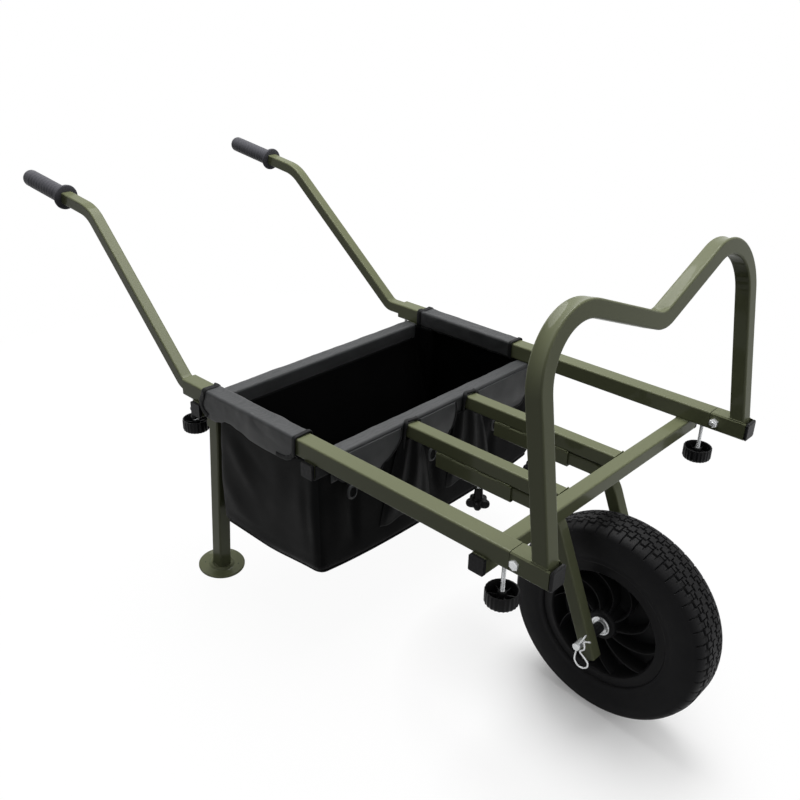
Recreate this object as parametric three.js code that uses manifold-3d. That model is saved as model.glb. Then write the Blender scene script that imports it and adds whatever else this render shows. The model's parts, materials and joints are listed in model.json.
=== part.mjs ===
// Fishing trolley: a barrow with one wheel, a hanging cargo bag and two push handles.
// Millimetres. +Z is up, +X is the right side and -Y is forward, where the wheel is.
// The chassis stands on its wheel and on two upright legs, and slopes down to the rear.
// In the chassis group Y runs back from the rails' front ends, Z up from their undersides.

import * as THREE from 'three';
import { mergeVertices } from 'three/addons/utils/BufferGeometryUtils.js';
import Module from 'manifold-3d';

const wasm = await Module();
wasm.setup();

// Clearances and cuts
const fit = 0.3;
const overrun = 4;
const mergeDistance = 0.001;

// Side rails, with the centre distance between them
const railSide = 30;
const railWall = 2;
const railCorner = 3;
const railLength = 716;
const railSpread = 548;

// Crossbars, inner rails, front bar and legs are of one lighter tube
const tubeSide = 25;
const tubeWall = 1.5;
const tubeCorner = 2.5;
const frontCrossAt = 46.5;
const bagCrossAt = 381.5;
const rearCrossInset = 42.5;
const rearCrossAt = railLength - rearCrossInset;
const innerSpread = 154;
const crossCapThickness = 6;
const crossCapPlug = 12;
const capCorner = 2;

// Fork and its sockets under the inner rails
const slimSide = 22;
const slimWall = 2;
const slimCorner = 3;
const forkSocketSide = 28;
const forkSocketWall = 2.5;
const forkSocketLength = 152;
const forkSocketRear = 295;
const forkInsert = 140;
const forkBendRadius = 50;
const forkAngle = THREE.MathUtils.degToRad(67);
const forkTail = 32;
const axleAhead = 11;
const axleDrop = 234;
const axleDiameter = 12;
const axleOverhang = 20;
const axleHeadDiameter = 20;
const axleHeadThickness = 4;
const spacerDiameter = 18;

// Spring clip through the axle's end
const clipWire = 2.8;
const clipLength = 66;
const clipSetback = 8;
const clipTilt = THREE.MathUtils.degToRad(17);

// Wheel
const wheelRadius = 170;
const tyreWidth = 80;
const treadDepth = 4;
const treadPitches = 40;
const rimFlangeRadius = 108.5;
const rimWidth = 70;
const rimBarrelRadius = 92;
const rimWallThickness = 4;
const rimWebThickness = 5;
const vaneCount = 10;
const vaneThickness = 3.5;
const hubRadius = 24;
const hubWidth = 76;
const hubBoreGap = 2;
const bearingRadius = 16;
const bearingWidth = 10;
const bearingLip = 2.5;

// Legs: standing height at the rail's underside and place along the rail
const legHeight = 347;
const legInset = 83;
const legAt = railLength - legInset;
const legTopGap = 3;
const legSocketSide = 30;
const legSocketWall = 2;
const legSocketDepth = 38;
const footRadius = 43;
const footThickness = 4;
const footDish = 1.5;
const footRingHeight = 7;
const footRingRadius = 22;
const footRingDraft = 1;
const footHoleDiameter = 5;
const footFlatShare = 0.9;
const footDishShare = 0.82;

// Front bar: a bent hoop that leans back over the rails
const barSetAhead = 48.5;
const barLean = THREE.MathUtils.degToRad(8.5);
const barShoulderHeight = 368;
const barSlope = THREE.MathUtils.degToRad(20.2);
const barBendRadius = 85;
const barDipRadius = 50;
const baseTubeLength = 60;
const baseTubeGap = 1;
const baseCapThickness = 5;
const spigotRailLength = 90;
const boltAhead = 10;
const boltDiameter = 8;
const boltHeadAcross = 13;
const boltHeadThickness = 5;
const boltNutThickness = 7;
const boltThreadEnd = 4;

// Push handles, each a bent tube with a moulded grip
const handleInsert = 300;
const handleBendRadius = 26;
const handleTopRadius = 75;
const handleRun = 289;
const handleRise = 248;
const handleEndLength = 226;
const handleEndRise = 27;
const handleTopLean = 15;
const handleEndLean = 10;
const rightHandleDraw = 26;
const gripLength = 145;
const gripRadius = 16.5;
const gripFlangeRadius = 24;
const gripFlangeThickness = 7;
const gripFlangeEase = 1;
const gripRibs = 7;
const gripRibDepth = 1.4;
const gripEndWall = 6;
const gripDomeShares = [[1, 0], [0.87, 0.5], [0.5, 0.87]];

// Star knobs that clamp the fork and the legs
const starRadius = 20;
const starThickness = 14;
const starLobes = 5;
const starLobeDepth = 6;
const starNeckRadius = 8;
const starNeckLength = 22;
const starNeckShare = 0.8;
const starNeckSink = 2;
const starStudDiameter = 8;
const starDrop = 30;
const starAt = 214;
const starBevel = 1.5;

// Rear star knobs: a long stud runs under the rear crossbar into the leg's socket
const rearStarRadius = 18.5;
const rearStarThickness = 12;
const rearStudDiameter = 6;
const rearStudDrop = 29;
const rearStudGap = 2 * fit;

// Cup knobs that clamp the front bar and the handles in the rails
const cupRadius = 24;
const cupHeight = 22;
const cupWall = 3;
const cupFlutes = 12;
const cupFluteDepth = 0.9;
const cupHubRadius = 6;
const cupHubFlare = 12;
const cupStudDiameter = 6;
const frontCupDrop = 46;
const rearCupDrop = 48;
const frontCupAt = 16;
const rearCupAhead = 10;
const studSocketDepth = 8;

// Cargo bag, hung on sleeves round the rails and crossbars
const bagCloth = 2;
const bagDepth = 225;
const bagFrontLean = 4;
const bagRearInset = 100;
const bagRearAt = railLength - bagRearInset;
const sleeveGap = 0.5;
const sleeveFront = 410;
const sleeveRearInset = 64;
const sleeveRear = railLength - sleeveRearInset;
const flapDrop = 17;
const tabMargin = 3;

// Facets
const cornerShare = 0.7;
const bendSteps = 6;
const boreSteps = 12;
const turnSteps = 14;
const rimSteps = 28;
const clipSteps = 34;
const lobeSteps = 5;

// Values worked out from the sizes above
const railX = railSpread / 2;
const innerX = innerSpread / 2;
const railBoreTop = railSide - railWall;
const slimInRailZ = railBoreTop - fit - slimSide / 2;
const slimUnderside = slimInRailZ - slimSide / 2;
const forkSocketZ = -tubeSide - 2 * fit - forkSocketSide / 2;
const forkTubeZ = forkSocketZ + forkSocketSide / 2 - forkSocketWall - fit - slimSide / 2;
const axleY = -axleAhead;
const axleZ = -axleDrop;
const cupHubHeight = cupHeight - studSocketDepth / 2;
const wheelBase = legAt - axleY;
const slope = Math.acos((legHeight - wheelRadius) / Math.hypot(axleDrop, wheelBase))
  - Math.atan2(wheelBase, axleDrop);
const chassisHeight = wheelRadius + axleY * Math.sin(slope) - axleZ * Math.cos(slope);

// Materials
const paint = new THREE.MeshStandardMaterial({ color: 0x63674c, roughness: 0.45, metalness: 0.25 });
const zinc = new THREE.MeshStandardMaterial({ color: 0xc9cccf, roughness: 0.3, metalness: 0.9 });
const plastic = new THREE.MeshStandardMaterial({ color: 0x1b1b1d, roughness: 0.5, metalness: 0 });
const rubber = new THREE.MeshStandardMaterial({ color: 0x161718, roughness: 0.8, metalness: 0 });
const foam = new THREE.MeshStandardMaterial({ color: 0x2c2d30, roughness: 0.75, metalness: 0 });
const cloth = new THREE.MeshStandardMaterial({ color: 0x3b3f42, roughness: 0.9, metalness: 0 });

// A mesh with merged corners and no empty triangles
function tidy(geometry) {
  const bare = geometry.clone();
  bare.deleteAttribute('normal');
  bare.deleteAttribute('uv');
  const merged = mergeVertices(bare, mergeDistance);
  const kept = [];
  for (let i = 0; i < merged.index.count; i += 3) {
    const [a, b, c] = merged.index.array.slice(i, i + 3);
    if (a !== b && b !== c && c !== a) kept.push(a, b, c);
  }
  merged.setIndex(kept);
  merged.computeVertexNormals();
  return merged;
}

function toSolid(geometry) {
  const merged = tidy(geometry);
  return new wasm.Manifold(new wasm.Mesh({
    numProp: 3,
    vertProperties: new Float32Array(merged.attributes.position.array),
    triVerts: new Uint32Array(merged.index.array),
  }));
}

function fromSolid(body) {
  const mesh = body.getMesh();
  const geometry = new THREE.BufferGeometry();
  geometry.setAttribute('position', new THREE.BufferAttribute(new Float32Array(mesh.vertProperties), 3));
  geometry.setIndex(new THREE.BufferAttribute(new Uint32Array(mesh.triVerts), 1));
  geometry.computeVertexNormals();
  return geometry;
}

function cut(geometry, tools) {
  return fromSolid(tools.reduce((body, tool) => body.subtract(toSolid(tool)), toSolid(geometry)));
}

function join(geometries) {
  return fromSolid(geometries.map(toSolid).reduce((body, other) => body.add(other)));
}

function addPiece(parent, name, geometry, material, [x, y, z] = [0, 0, 0]) {
  const mesh = new THREE.Mesh(geometry, material);
  mesh.name = name;
  mesh.position.set(x, y, z);
  parent.add(mesh);
  return mesh;
}

// A box from its low and high corners
function boxBetween([x0, y0, z0], [x1, y1, z1]) {
  const box = new THREE.BoxGeometry(x1 - x0, y1 - y0, z1 - z0);
  return box.translate((x0 + x1) / 2, (y0 + y1) / 2, (z0 + z1) / 2);
}

// A square with each corner cut off a little inside its rounding
function easedSquare(side, corner) {
  const half = side / 2;
  const flat = half - corner * cornerShare;
  const outline = [[-flat, -half], [flat, -half], [half, -flat], [half, flat]];
  const opposite = outline.map(([x, y]) => [-x, -y]);
  return new THREE.Shape([...outline, ...opposite].map(([x, y]) => new THREE.Vector2(x, y)));
}

function tubeSection(side, wall, corner) {
  const section = easedSquare(side, corner);
  section.holes.push(easedSquare(side - 2 * wall, 0));
  return section;
}

// Straight extrusions from zero to their length, along Z, Y or X
function alongZ(section, length) {
  return new THREE.ExtrudeGeometry(section, { depth: length, bevelEnabled: false });
}

function alongY(section, length) {
  return alongZ(section, length).rotateX(-Math.PI / 2);
}

function alongX(section, length) {
  return alongZ(section, length).rotateY(Math.PI / 2);
}

// Solid rods about the axes, from zero to their length
function rodZ(diameter, length, steps = boreSteps) {
  const rod = new THREE.CylinderGeometry(diameter / 2, diameter / 2, length, steps);
  return rod.rotateX(Math.PI / 2).translate(0, 0, length / 2);
}

function rodX(diameter, length, steps = boreSteps) {
  return rodZ(diameter, length, steps).rotateY(Math.PI / 2);
}

function rodY(diameter, length, steps = boreSteps) {
  return rodZ(diameter, length, steps).rotateX(-Math.PI / 2);
}

// A profile of [radius, height] pairs turned about Z. It ends on the axis or closes on itself
function revolve(profile, steps = turnSteps) {
  const points = profile.map(([radius, height]) => new THREE.Vector2(radius, height));
  return new THREE.LatheGeometry(points, steps).rotateX(Math.PI / 2);
}

// A run of straight lines between corner points, with each corner bent to its own radius
class BentPath extends THREE.Curve {
  constructor(corners, radii) {
    super();
    const runs = corners.slice(1).map((corner, i) => corner.clone().sub(corners[i]).normalize());
    this.stations = [{ point: corners[0], tangent: runs[0] }];
    radii.forEach((radius, i) => this.addBend(corners[i + 1], runs[i], runs[i + 1], radius));
    this.stations.push({ point: corners.at(-1), tangent: runs.at(-1) });
  }

  addBend(corner, from, to, radius) {
    const turn = from.angleTo(to);
    const start = corner.clone().addScaledVector(from, -radius * Math.tan(turn / 2));
    const inward = to.clone().addScaledVector(from, -from.dot(to)).normalize();
    for (let i = 0; i <= bendSteps; i++) {
      const angle = turn * i / bendSteps;
      const point = start.clone().addScaledVector(from, radius * Math.sin(angle));
      point.addScaledVector(inward, radius * (1 - Math.cos(angle)));
      const tangent = from.clone().multiplyScalar(Math.cos(angle));
      this.stations.push({ point, tangent: tangent.addScaledVector(inward, Math.sin(angle)) });
    }
  }

  at(share) {
    return this.stations[Math.round(share * (this.stations.length - 1))];
  }

  getPointAt(share, target = new THREE.Vector3()) {
    return target.copy(this.at(share).point);
  }

  getTangentAt(share, target = new THREE.Vector3()) {
    return target.copy(this.at(share).tangent);
  }
}

function bentTube(section, corners, radii) {
  const path = new BentPath(corners, radii);
  return new THREE.ExtrudeGeometry(section, { steps: path.stations.length - 1, extrudePath: path });
}

const railSection = tubeSection(railSide, railWall, railCorner);
const tubeProfile = tubeSection(tubeSide, tubeWall, tubeCorner);
const slimSection = tubeSection(slimSide, slimWall, slimCorner);

// Side rails, each drilled underneath for its two clamp studs
function makeSideRail() {
  const rail = alongY(railSection, railLength).translate(0, 0, railSide / 2);
  const hole = rodZ(cupStudDiameter + 2 * fit, railWall + 2 * overrun).translate(0, 0, -overrun);
  const places = [frontCupAt, railLength - rearCupAhead];
  return cut(rail, places.map((y) => hole.clone().translate(0, y, 0)));
}

function makeCrossbar() {
  return alongX(tubeProfile, railSpread + railSide).translate(-(railSpread + railSide) / 2, 0, 0);
}

// Square end cap with a plug that enters the tube, for the end that faces -X
function makeCrossCap() {
  const flange = alongX(easedSquare(tubeSide, capCorner), crossCapThickness);
  const plugSide = tubeSide - 2 * tubeWall - 2 * fit;
  const plugLength = crossCapPlug + crossCapThickness / 2;
  const plug = alongX(easedSquare(plugSide, capCorner), plugLength);
  return join([flange.translate(-crossCapThickness, 0, 0), plug.translate(-crossCapThickness / 2, 0, 0)]);
}

function addCrossbars(chassis) {
  const places = { front: frontCrossAt, bag: bagCrossAt, rear: rearCrossAt };
  for (const [place, y] of Object.entries(places)) {
    const z = -tubeSide / 2 - fit;
    addPiece(chassis, `${place}_crossbar`, makeCrossbar(), paint, [0, y, z]);
    const reach = (railSpread + railSide) / 2 + fit;
    addPiece(chassis, `${place}_cap_left`, makeCrossCap(), plastic, [-reach, y, z]);
    addPiece(chassis, `${place}_cap_right`, makeCrossCap().rotateZ(Math.PI), plastic, [reach, y, z]);
  }
}

// Inner rails butt between the front and the bag crossbar, and carry the fork's sockets
function addInnerRails(chassis) {
  const front = frontCrossAt + tubeSide / 2 + fit;
  const length = bagCrossAt - tubeSide / 2 - fit - front;
  const socketSection = tubeSection(forkSocketSide, forkSocketWall, slimCorner);
  const hole = rodZ(starStudDiameter + 2 * fit, forkSocketWall + 2 * overrun);
  for (const [side, x] of [['left', -innerX], ['right', innerX]]) {
    addPiece(chassis, `inner_rail_${side}`, alongY(tubeProfile, length), paint,
      [x, front, -tubeSide / 2 - fit]);
    const socket = alongY(socketSection, forkSocketLength);
    const holeAt = starAt - (forkSocketRear - forkSocketLength);
    const drilled = cut(socket, [hole.clone().translate(0, holeAt, -forkSocketSide / 2 - overrun)]);
    addPiece(chassis, `fork_socket_${side}`, drilled, paint,
      [x, forkSocketRear - forkSocketLength, forkSocketZ]);
  }
}

// Fork: two bent tubes that hold the axle
function makeForkLeg() {
  const bendY = axleY + (forkTubeZ - axleZ) / Math.tan(forkAngle);
  const corners = [
    new THREE.Vector3(forkSocketRear - forkSocketLength + forkInsert, forkTubeZ, 0),
    new THREE.Vector3(bendY, forkTubeZ, 0),
    new THREE.Vector3(
      axleY - forkTail * Math.cos(forkAngle), axleZ - forkTail * Math.sin(forkAngle), 0),
  ];
  const tube = bentTube(slimSection, corners, [forkBendRadius]);
  tube.rotateX(Math.PI / 2).rotateZ(Math.PI / 2);
  const hole = rodX(axleDiameter + 2 * fit, slimSide + 2 * overrun);
  return cut(tube, [hole.translate(-slimSide / 2 - overrun, axleY, axleZ)]);
}

// Axle pin with a head on the right and a cross hole for the clip near its left end
function makeAxle(clipX) {
  const reach = innerX + slimSide / 2;
  const pin = rodX(axleDiameter, 2 * reach + axleOverhang + fit);
  const head = rodX(axleHeadDiameter, axleHeadThickness);
  const whole = join([pin.translate(-reach - axleOverhang, 0, 0), head.translate(reach + fit, 0, 0)]);
  const hole = rodZ(clipWire + 2 * fit, axleDiameter + 2 * overrun);
  hole.translate(clipX, 0, -axleDiameter / 2 - overrun).rotateX(clipTilt);
  return cut(whole, [hole]);
}

// Spring clip: a straight prong through the pin, a loop below, and a leg sprung round the pin
const clipShares = [
  [0, 0.21], [0, 0.05], [0, -0.12], [0, -0.3], [-0.07, -0.46], [-0.1, -0.62], [-0.02, -0.76],
  [0.14, -0.76], [0.21, -0.62], [0.17, -0.48], [0.06, -0.32], [0.09, -0.24], [0.155, -0.12],
  [0.165, 0.02], [0.12, 0.11], [0.2, 0.18],
];

function makeClip() {
  const points = clipShares.map(([across, up]) => (
    new THREE.Vector3(across * clipLength, up * clipLength, 0)));
  const section = new THREE.Shape().absarc(0, 0, clipWire / 2, 0, 2 * Math.PI);
  const path = new THREE.CatmullRomCurve3(points, false, 'centripetal');
  const wire = new THREE.ExtrudeGeometry(section, {
    steps: clipSteps, extrudePath: path, curveSegments: 3,
  });
  return wire.rotateX(Math.PI / 2).rotateZ(-Math.PI / 2).rotateX(clipTilt);
}

function makeSpacer() {
  const length = innerX - slimSide / 2 - hubWidth / 2 - bearingLip - 3 * fit;
  const spacer = rodX(spacerDiameter, length);
  const bore = rodX(axleDiameter + 2 * fit, length + 2 * overrun).translate(-overrun, 0, 0);
  return cut(spacer, [bore]);
}

function addFork(chassis) {
  addPiece(chassis, 'fork_leg_left', makeForkLeg(), paint, [-innerX, 0, 0]);
  addPiece(chassis, 'fork_leg_right', makeForkLeg(), paint, [innerX, 0, 0]);
  const clipX = -innerX - slimSide / 2 - axleOverhang + clipSetback;
  addPiece(chassis, 'axle_pin', makeAxle(clipX), zinc, [0, axleY, axleZ]);
  addPiece(chassis, 'axle_clip', makeClip(), zinc, [clipX, axleY, axleZ]);
  const spacerEnd = innerX - slimSide / 2 - fit;
  addPiece(chassis, 'axle_spacer_left', makeSpacer(), plastic, [-spacerEnd, axleY, axleZ]);
  addPiece(chassis, 'axle_spacer_right', makeSpacer().rotateZ(Math.PI), plastic,
    [spacerEnd, axleY, axleZ]);
}

// Tyre, above the rim's flange: shares of the half width and of the section height, then of
// the tread's depth in the cross grooves. The other half of the section mirrors them
const tyreShares = [
  [0.94, 0.3], [1, 0.62], [0.95, 0.86], [0.83, 0.96, 0.7], [0.44, 0.995, 1], [0.36, 0.94, 0.2],
  [0.28, 1, 1],
];
const pitchShares = [0, 0.62, 0.81];
const swayColumn = 1;
const grooveColumn = 2;
const zigzagShare = 0.1;

function tyreRows(beadRadius, beadHalf) {
  const height = wheelRadius - beadRadius;
  const bead = [[beadHalf, beadRadius, 0], [beadHalf, rimFlangeRadius + fit, 0]];
  const side = tyreShares.map(([across, up, groove = 0]) => (
    [across * tyreWidth / 2, beadRadius + up * height, groove]));
  const half = [...bead, ...side];
  return [...half, ...half.map(([x, radius, groove]) => [-x, radius, groove]).reverse()];
}

function makeTyre() {
  const beadRadius = rimFlangeRadius - rimWallThickness;
  const profile = tyreRows(beadRadius, rimWidth / 2 - rimWallThickness - fit);
  const rows = profile.length;
  const columns = treadPitches * pitchShares.length;
  const positions = [];
  for (let column = 0; column < columns; column++) {
    const step = column % pitchShares.length;
    const pitch = Math.floor(column / pitchShares.length) + pitchShares[step];
    for (const [across, top, groove] of profile) {
      const shift = across > 0 ? 0 : 1 / 2;
      const angle = (pitch + shift) / treadPitches * 2 * Math.PI - Math.PI / 2;
      const radius = top - (step === grooveColumn ? groove * treadDepth : 0);
      const sways = groove && Math.abs(across) < tyreWidth / 4 && step === swayColumn;
      const x = across + (sways ? zigzagShare * tyreWidth / 2 : 0);
      positions.push(x, radius * Math.cos(angle), radius * Math.sin(angle));
    }
  }
  const index = [];
  for (let column = 0; column < columns; column++) {
    const next = (column + 1) % columns;
    for (let row = 0; row < rows; row++) {
      const up = (row + 1) % rows;
      const corners = [column * rows + row, column * rows + up, next * rows + up, next * rows + row];
      index.push(corners[0], corners[1], corners[2], corners[0], corners[2], corners[3]);
    }
  }
  const outside = new THREE.BufferGeometry();
  outside.setAttribute('position', new THREE.Float32BufferAttribute(positions, 3));
  outside.setIndex(index);
  return cut(outside, [makeTyreHollow(beadRadius)]);
}

// The air space inside the tyre, open between its beads
const hollowShares = [[0.55, 0], [0.55, 0.12], [0.87, 0.42], [0.84, 0.76], [0, 0.88]];

function makeTyreHollow(beadRadius) {
  const height = wheelRadius - beadRadius;
  const half = hollowShares.map(([across, up]) => (
    [beadRadius + up * height - (up ? 0 : overrun), -across * tyreWidth / 2]));
  const other = half.slice(0, -1).reverse().map(([radius, across]) => [radius, -across]);
  return revolve([...half, ...other, half[0]], rimSteps).rotateY(Math.PI / 2);
}

// Rim: a channel with two flanges, a web, a hub and swirled vanes
function makeRim() {
  const beadRadius = rimFlangeRadius - rimWallThickness;
  const beadHalf = rimWidth / 2 - rimWallThickness;
  const seat = beadRadius - fit;
  const inner = seat - rimWallThickness;
  const lip = rimFlangeRadius;
  const half = rimWidth / 2;
  const web = rimWebThickness / 2;
  const hub = hubWidth / 2;
  const bore = axleDiameter / 2 + hubBoreGap;
  const channel = [
    [inner, -half], [lip, -half], [lip, -beadHalf], [seat, -beadHalf], [seat, beadHalf],
    [lip, beadHalf], [lip, half], [inner, half],
    [rimBarrelRadius, web], [hubRadius, web], [hubRadius, hub], [bore, hub],
    [bore, -hub], [hubRadius, -hub], [hubRadius, -web], [rimBarrelRadius, -web],
    [inner, -half],
  ];
  const body = revolve(channel, rimSteps).rotateY(Math.PI / 2);
  const vane = makeVane(inner);
  const vanes = Array.from({ length: vaneCount }, (_, i) => (
    vane.clone().rotateX(i / vaneCount * 2 * Math.PI)));
  const pocket = rodX(2 * (bearingRadius + fit), bearingWidth + overrun, turnSteps);
  return cut(join([body, ...vanes]), [
    pocket.clone().translate(-hub - overrun, 0, 0), pocket.clone().translate(hub - bearingWidth, 0, 0),
  ]);
}

// One vane: a curved rib from the hub to the channel, as deep as the hub and tapered outward
const vaneSweep = THREE.MathUtils.degToRad(38);
const vaneStations = 6;

function makeVane(outerRadius) {
  const from = hubRadius - vaneThickness / 2;
  const to = outerRadius;
  const outline = [];
  for (const sign of [1, -1]) {
    for (let i = 0; i <= vaneStations; i++) {
      const share = sign > 0 ? i / vaneStations : 1 - i / vaneStations;
      const radius = from + (to - from) * share;
      const angle = vaneSweep * share * share;
      const edge = sign * vaneThickness / 2;
      outline.push(new THREE.Vector2(
        radius * Math.cos(angle) - edge * Math.sin(angle),
        radius * Math.sin(angle) + edge * Math.cos(angle)));
    }
  }
  const depth = rimWidth - 2 * rimWallThickness;
  const vane = new THREE.ExtrudeGeometry(new THREE.Shape(outline), { depth, bevelEnabled: false });
  return vane.translate(0, 0, -depth / 2).rotateY(Math.PI / 2);
}

// Bearing with a lip outside the hub, for the side that faces -X
const bearingRaceShare = 1 / 3;

function makeBearing() {
  const inner = axleDiameter / 2 + fit;
  const outer = bearingRadius;
  const race = (outer - inner) * bearingRaceShare;
  const profile = [
    [inner, -bearingLip], [inner + race, -bearingLip], [inner + race, -bearingLip / 2],
    [outer - race, -bearingLip / 2], [outer - race, -bearingLip], [outer, -bearingLip],
    [outer, bearingWidth - fit], [inner, bearingWidth - fit], [inner, -bearingLip],
  ];
  return revolve(profile).rotateY(Math.PI / 2);
}

function addWheel(chassis) {
  const place = [0, axleY, axleZ];
  addPiece(chassis, 'tyre', makeTyre(), rubber, place);
  addPiece(chassis, 'rim', makeRim(), plastic, place);
  const hub = hubWidth / 2;
  addPiece(chassis, 'bearing_left', makeBearing(), zinc, [-hub, axleY, axleZ]);
  addPiece(chassis, 'bearing_right', makeBearing().rotateZ(Math.PI), zinc, [hub, axleY, axleZ]);
}

// Front bar: up the left post, over two shoulders with a dip between them, down the right post
function makeFrontBar() {
  const dip = railX * Math.tan(barSlope);
  const foot = -overrun;
  const corners = [
    new THREE.Vector3(-railX, foot, 0), new THREE.Vector3(-railX, barShoulderHeight, 0),
    new THREE.Vector3(0, barShoulderHeight - dip, 0), new THREE.Vector3(railX, barShoulderHeight, 0),
    new THREE.Vector3(railX, foot, 0),
  ];
  const hoop = bentTube(tubeProfile, corners, [barBendRadius, barDipRadius, barBendRadius]);
  hoop.rotateX(Math.PI / 2 - barLean);
  const floor = railWall + fit;
  const reach = railX + railSide;
  const trim = boxBetween([-reach, -railSide, floor - railSide], [reach, railSide, floor]);
  return cut(hoop, [trim]);
}

// Base tube of one post: open at the front, with its top wall notched for the post
function makeBaseTube() {
  const tube = alongY(railSection, baseTubeLength).translate(0, -baseTubeLength, railSide / 2);
  const postRear = -barSetAhead + baseTubeGap + railSide * Math.tan(barLean)
    + tubeSide / 2 / Math.cos(barLean) + fit;
  const halfWidth = tubeSide / 2 + fit;
  const notch = boxBetween([-halfWidth, -baseTubeLength - overrun, railSide / 2],
    [halfWidth, postRear, railSide + overrun]);
  return cut(tube, [notch, makeBoltHole().translate(0, baseTubeGap, 0)]);
}

function makeBoltHole() {
  const length = railSide + 2 * overrun;
  return rodX(boltDiameter + 2 * fit, length).translate(-length / 2, -boltAhead, railSide / 2);
}

// Spigot that joins the base tube to the rail and stops behind the post
function makeSpigot() {
  const front = -barSetAhead + slimUnderside * Math.tan(barLean) + tubeSide + fit;
  const spigot = alongY(slimSection, spigotRailLength - front).translate(0, front, slimInRailZ);
  return cut(spigot, [makeBoltHole()]);
}

// Hexagon bolt with its nut, head on the -X side
function makeBolt() {
  const hexagon = boltHeadAcross / Math.cos(Math.PI / 6);
  const half = railSide / 2 + fit;
  const head = rodX(hexagon, boltHeadThickness, 6).translate(-half - boltHeadThickness, 0, 0);
  const nut = rodX(hexagon, boltNutThickness, 6).translate(half, 0, 0);
  const shank = rodX(boltDiameter, 2 * half + boltHeadThickness + boltNutThickness + boltThreadEnd / 2);
  return join([head, nut, shank.translate(-half - boltHeadThickness / 2, 0, 0)]);
}

// Cap on the base tube's front end, rounded outside
function makeBaseCap() {
  return new THREE.ExtrudeGeometry(easedSquare(railSide - 2 * capCorner, capCorner), {
    depth: baseCapThickness - capCorner, bevelEnabled: true,
    bevelThickness: capCorner / 2, bevelSize: capCorner, bevelSegments: 1,
  }).rotateX(Math.PI / 2);
}

function addFrontBar(chassis) {
  addPiece(chassis, 'front_bar', makeFrontBar(), paint, [0, -barSetAhead, 0]);
  for (const [side, x, turn] of [['left', -railX, 0], ['right', railX, Math.PI]]) {
    addPiece(chassis, `base_tube_${side}`, makeBaseTube(), paint, [x, -baseTubeGap, 0]);
    addPiece(chassis, `bar_spigot_${side}`, makeSpigot(), paint, [x, 0, 0]);
    addPiece(chassis, `bar_bolt_${side}`, makeBolt().rotateZ(turn), zinc,
      [x, -boltAhead, railSide / 2]);
    const capY = -baseTubeGap - baseTubeLength - fit - capCorner / 2;
    addPiece(chassis, `base_cap_${side}`, makeBaseCap(), plastic, [x, capY, railSide / 2]);
  }
}

// Handles: straight in the rail, up and back, then level out to the grip
function handleCorners(lean) {
  const setback = handleBendRadius * Math.tan(Math.atan2(handleRise, handleRun) / 2);
  const mouth = railLength + setback;
  const endRun = Math.sqrt(handleEndLength ** 2 - handleEndRise ** 2);
  return [
    new THREE.Vector3(0, railLength - handleInsert, slimInRailZ),
    new THREE.Vector3(0, mouth, slimInRailZ),
    new THREE.Vector3(lean * handleTopLean, mouth + handleRun, slimInRailZ + handleRise),
    new THREE.Vector3(lean * handleEndLean, mouth + handleRun + endRun,
      slimInRailZ + handleRise + handleEndRise),
  ];
}

// Grip: a flange at its inner end, ribs along it and a domed end, with a square blind bore
function makeGrip() {
  const body = gripLength - gripFlangeThickness;
  const ribPitch = (body - gripRadius) / gripRibs;
  const flangeEdge = gripFlangeRadius - gripFlangeEase;
  const profile = [[0, 0], [flangeEdge, 0], [gripFlangeRadius, gripFlangeThickness / 2]];
  profile.push([flangeEdge, gripFlangeThickness]);
  for (let i = 0; i < gripRibs; i++) {
    const start = gripFlangeThickness + i * ribPitch;
    profile.push([gripRadius - gripRibDepth, start], [gripRadius, start + ribPitch / 2]);
  }
  const domeStart = gripLength - gripRadius;
  const dome = gripDomeShares.map(([out, up]) => [gripRadius * out, domeStart + gripRadius * up]);
  profile.push(...dome, [0, gripLength]);
  const bore = alongZ(easedSquare(slimSide + 2 * fit, slimCorner + fit), gripLength);
  return cut(revolve(profile, turnSteps), [bore.translate(0, 0, -gripEndWall)]);
}

function addHandle(chassis, side, x, lean, draw) {
  const corners = handleCorners(lean);
  const tube = bentTube(slimSection, corners, [handleBendRadius, handleTopRadius]);
  addPiece(chassis, `handle_${side}`, tube, paint, [x, draw, 0]);
  const end = corners[3];
  const direction = end.clone().sub(corners[2]).normalize();
  const place = end.clone().addScaledVector(direction, gripEndWall + fit - gripLength);
  const grip = addPiece(chassis, `grip_${side}`, makeGrip(), foam, [x + place.x, draw + place.y, place.z]);
  grip.up.set(0, 0, 1);
  grip.quaternion.setFromRotationMatrix(gripFrame(direction));
}

// The grip's axes: Z along the tube, and X level as the bent tube keeps it
function gripFrame(direction) {
  const across = new THREE.Vector3(1, 0, 0);
  across.addScaledVector(direction, -across.dot(direction)).normalize();
  const up = direction.clone().cross(across);
  return new THREE.Matrix4().makeBasis(across, up, direction);
}

// Legs stand upright in sockets under the rails
function makeLegSocket() {
  const section = tubeSection(legSocketSide, legSocketWall, railCorner);
  const socket = alongZ(section, legSocketDepth + overrun).translate(0, 0, -legSocketDepth);
  const lid = boxBetween([-legSocketSide, -legSocketSide, -fit],
    [legSocketSide, legSocketSide, legSocketSide]);
  const bore = rodY(rearStudDiameter + 2 * rearStudGap, legSocketSide);
  const hole = bore.translate(0, 0, -rearStudDrop);
  return cut(socket, [lid.rotateX(-slope), hole.rotateX(-slope)]);
}

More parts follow.
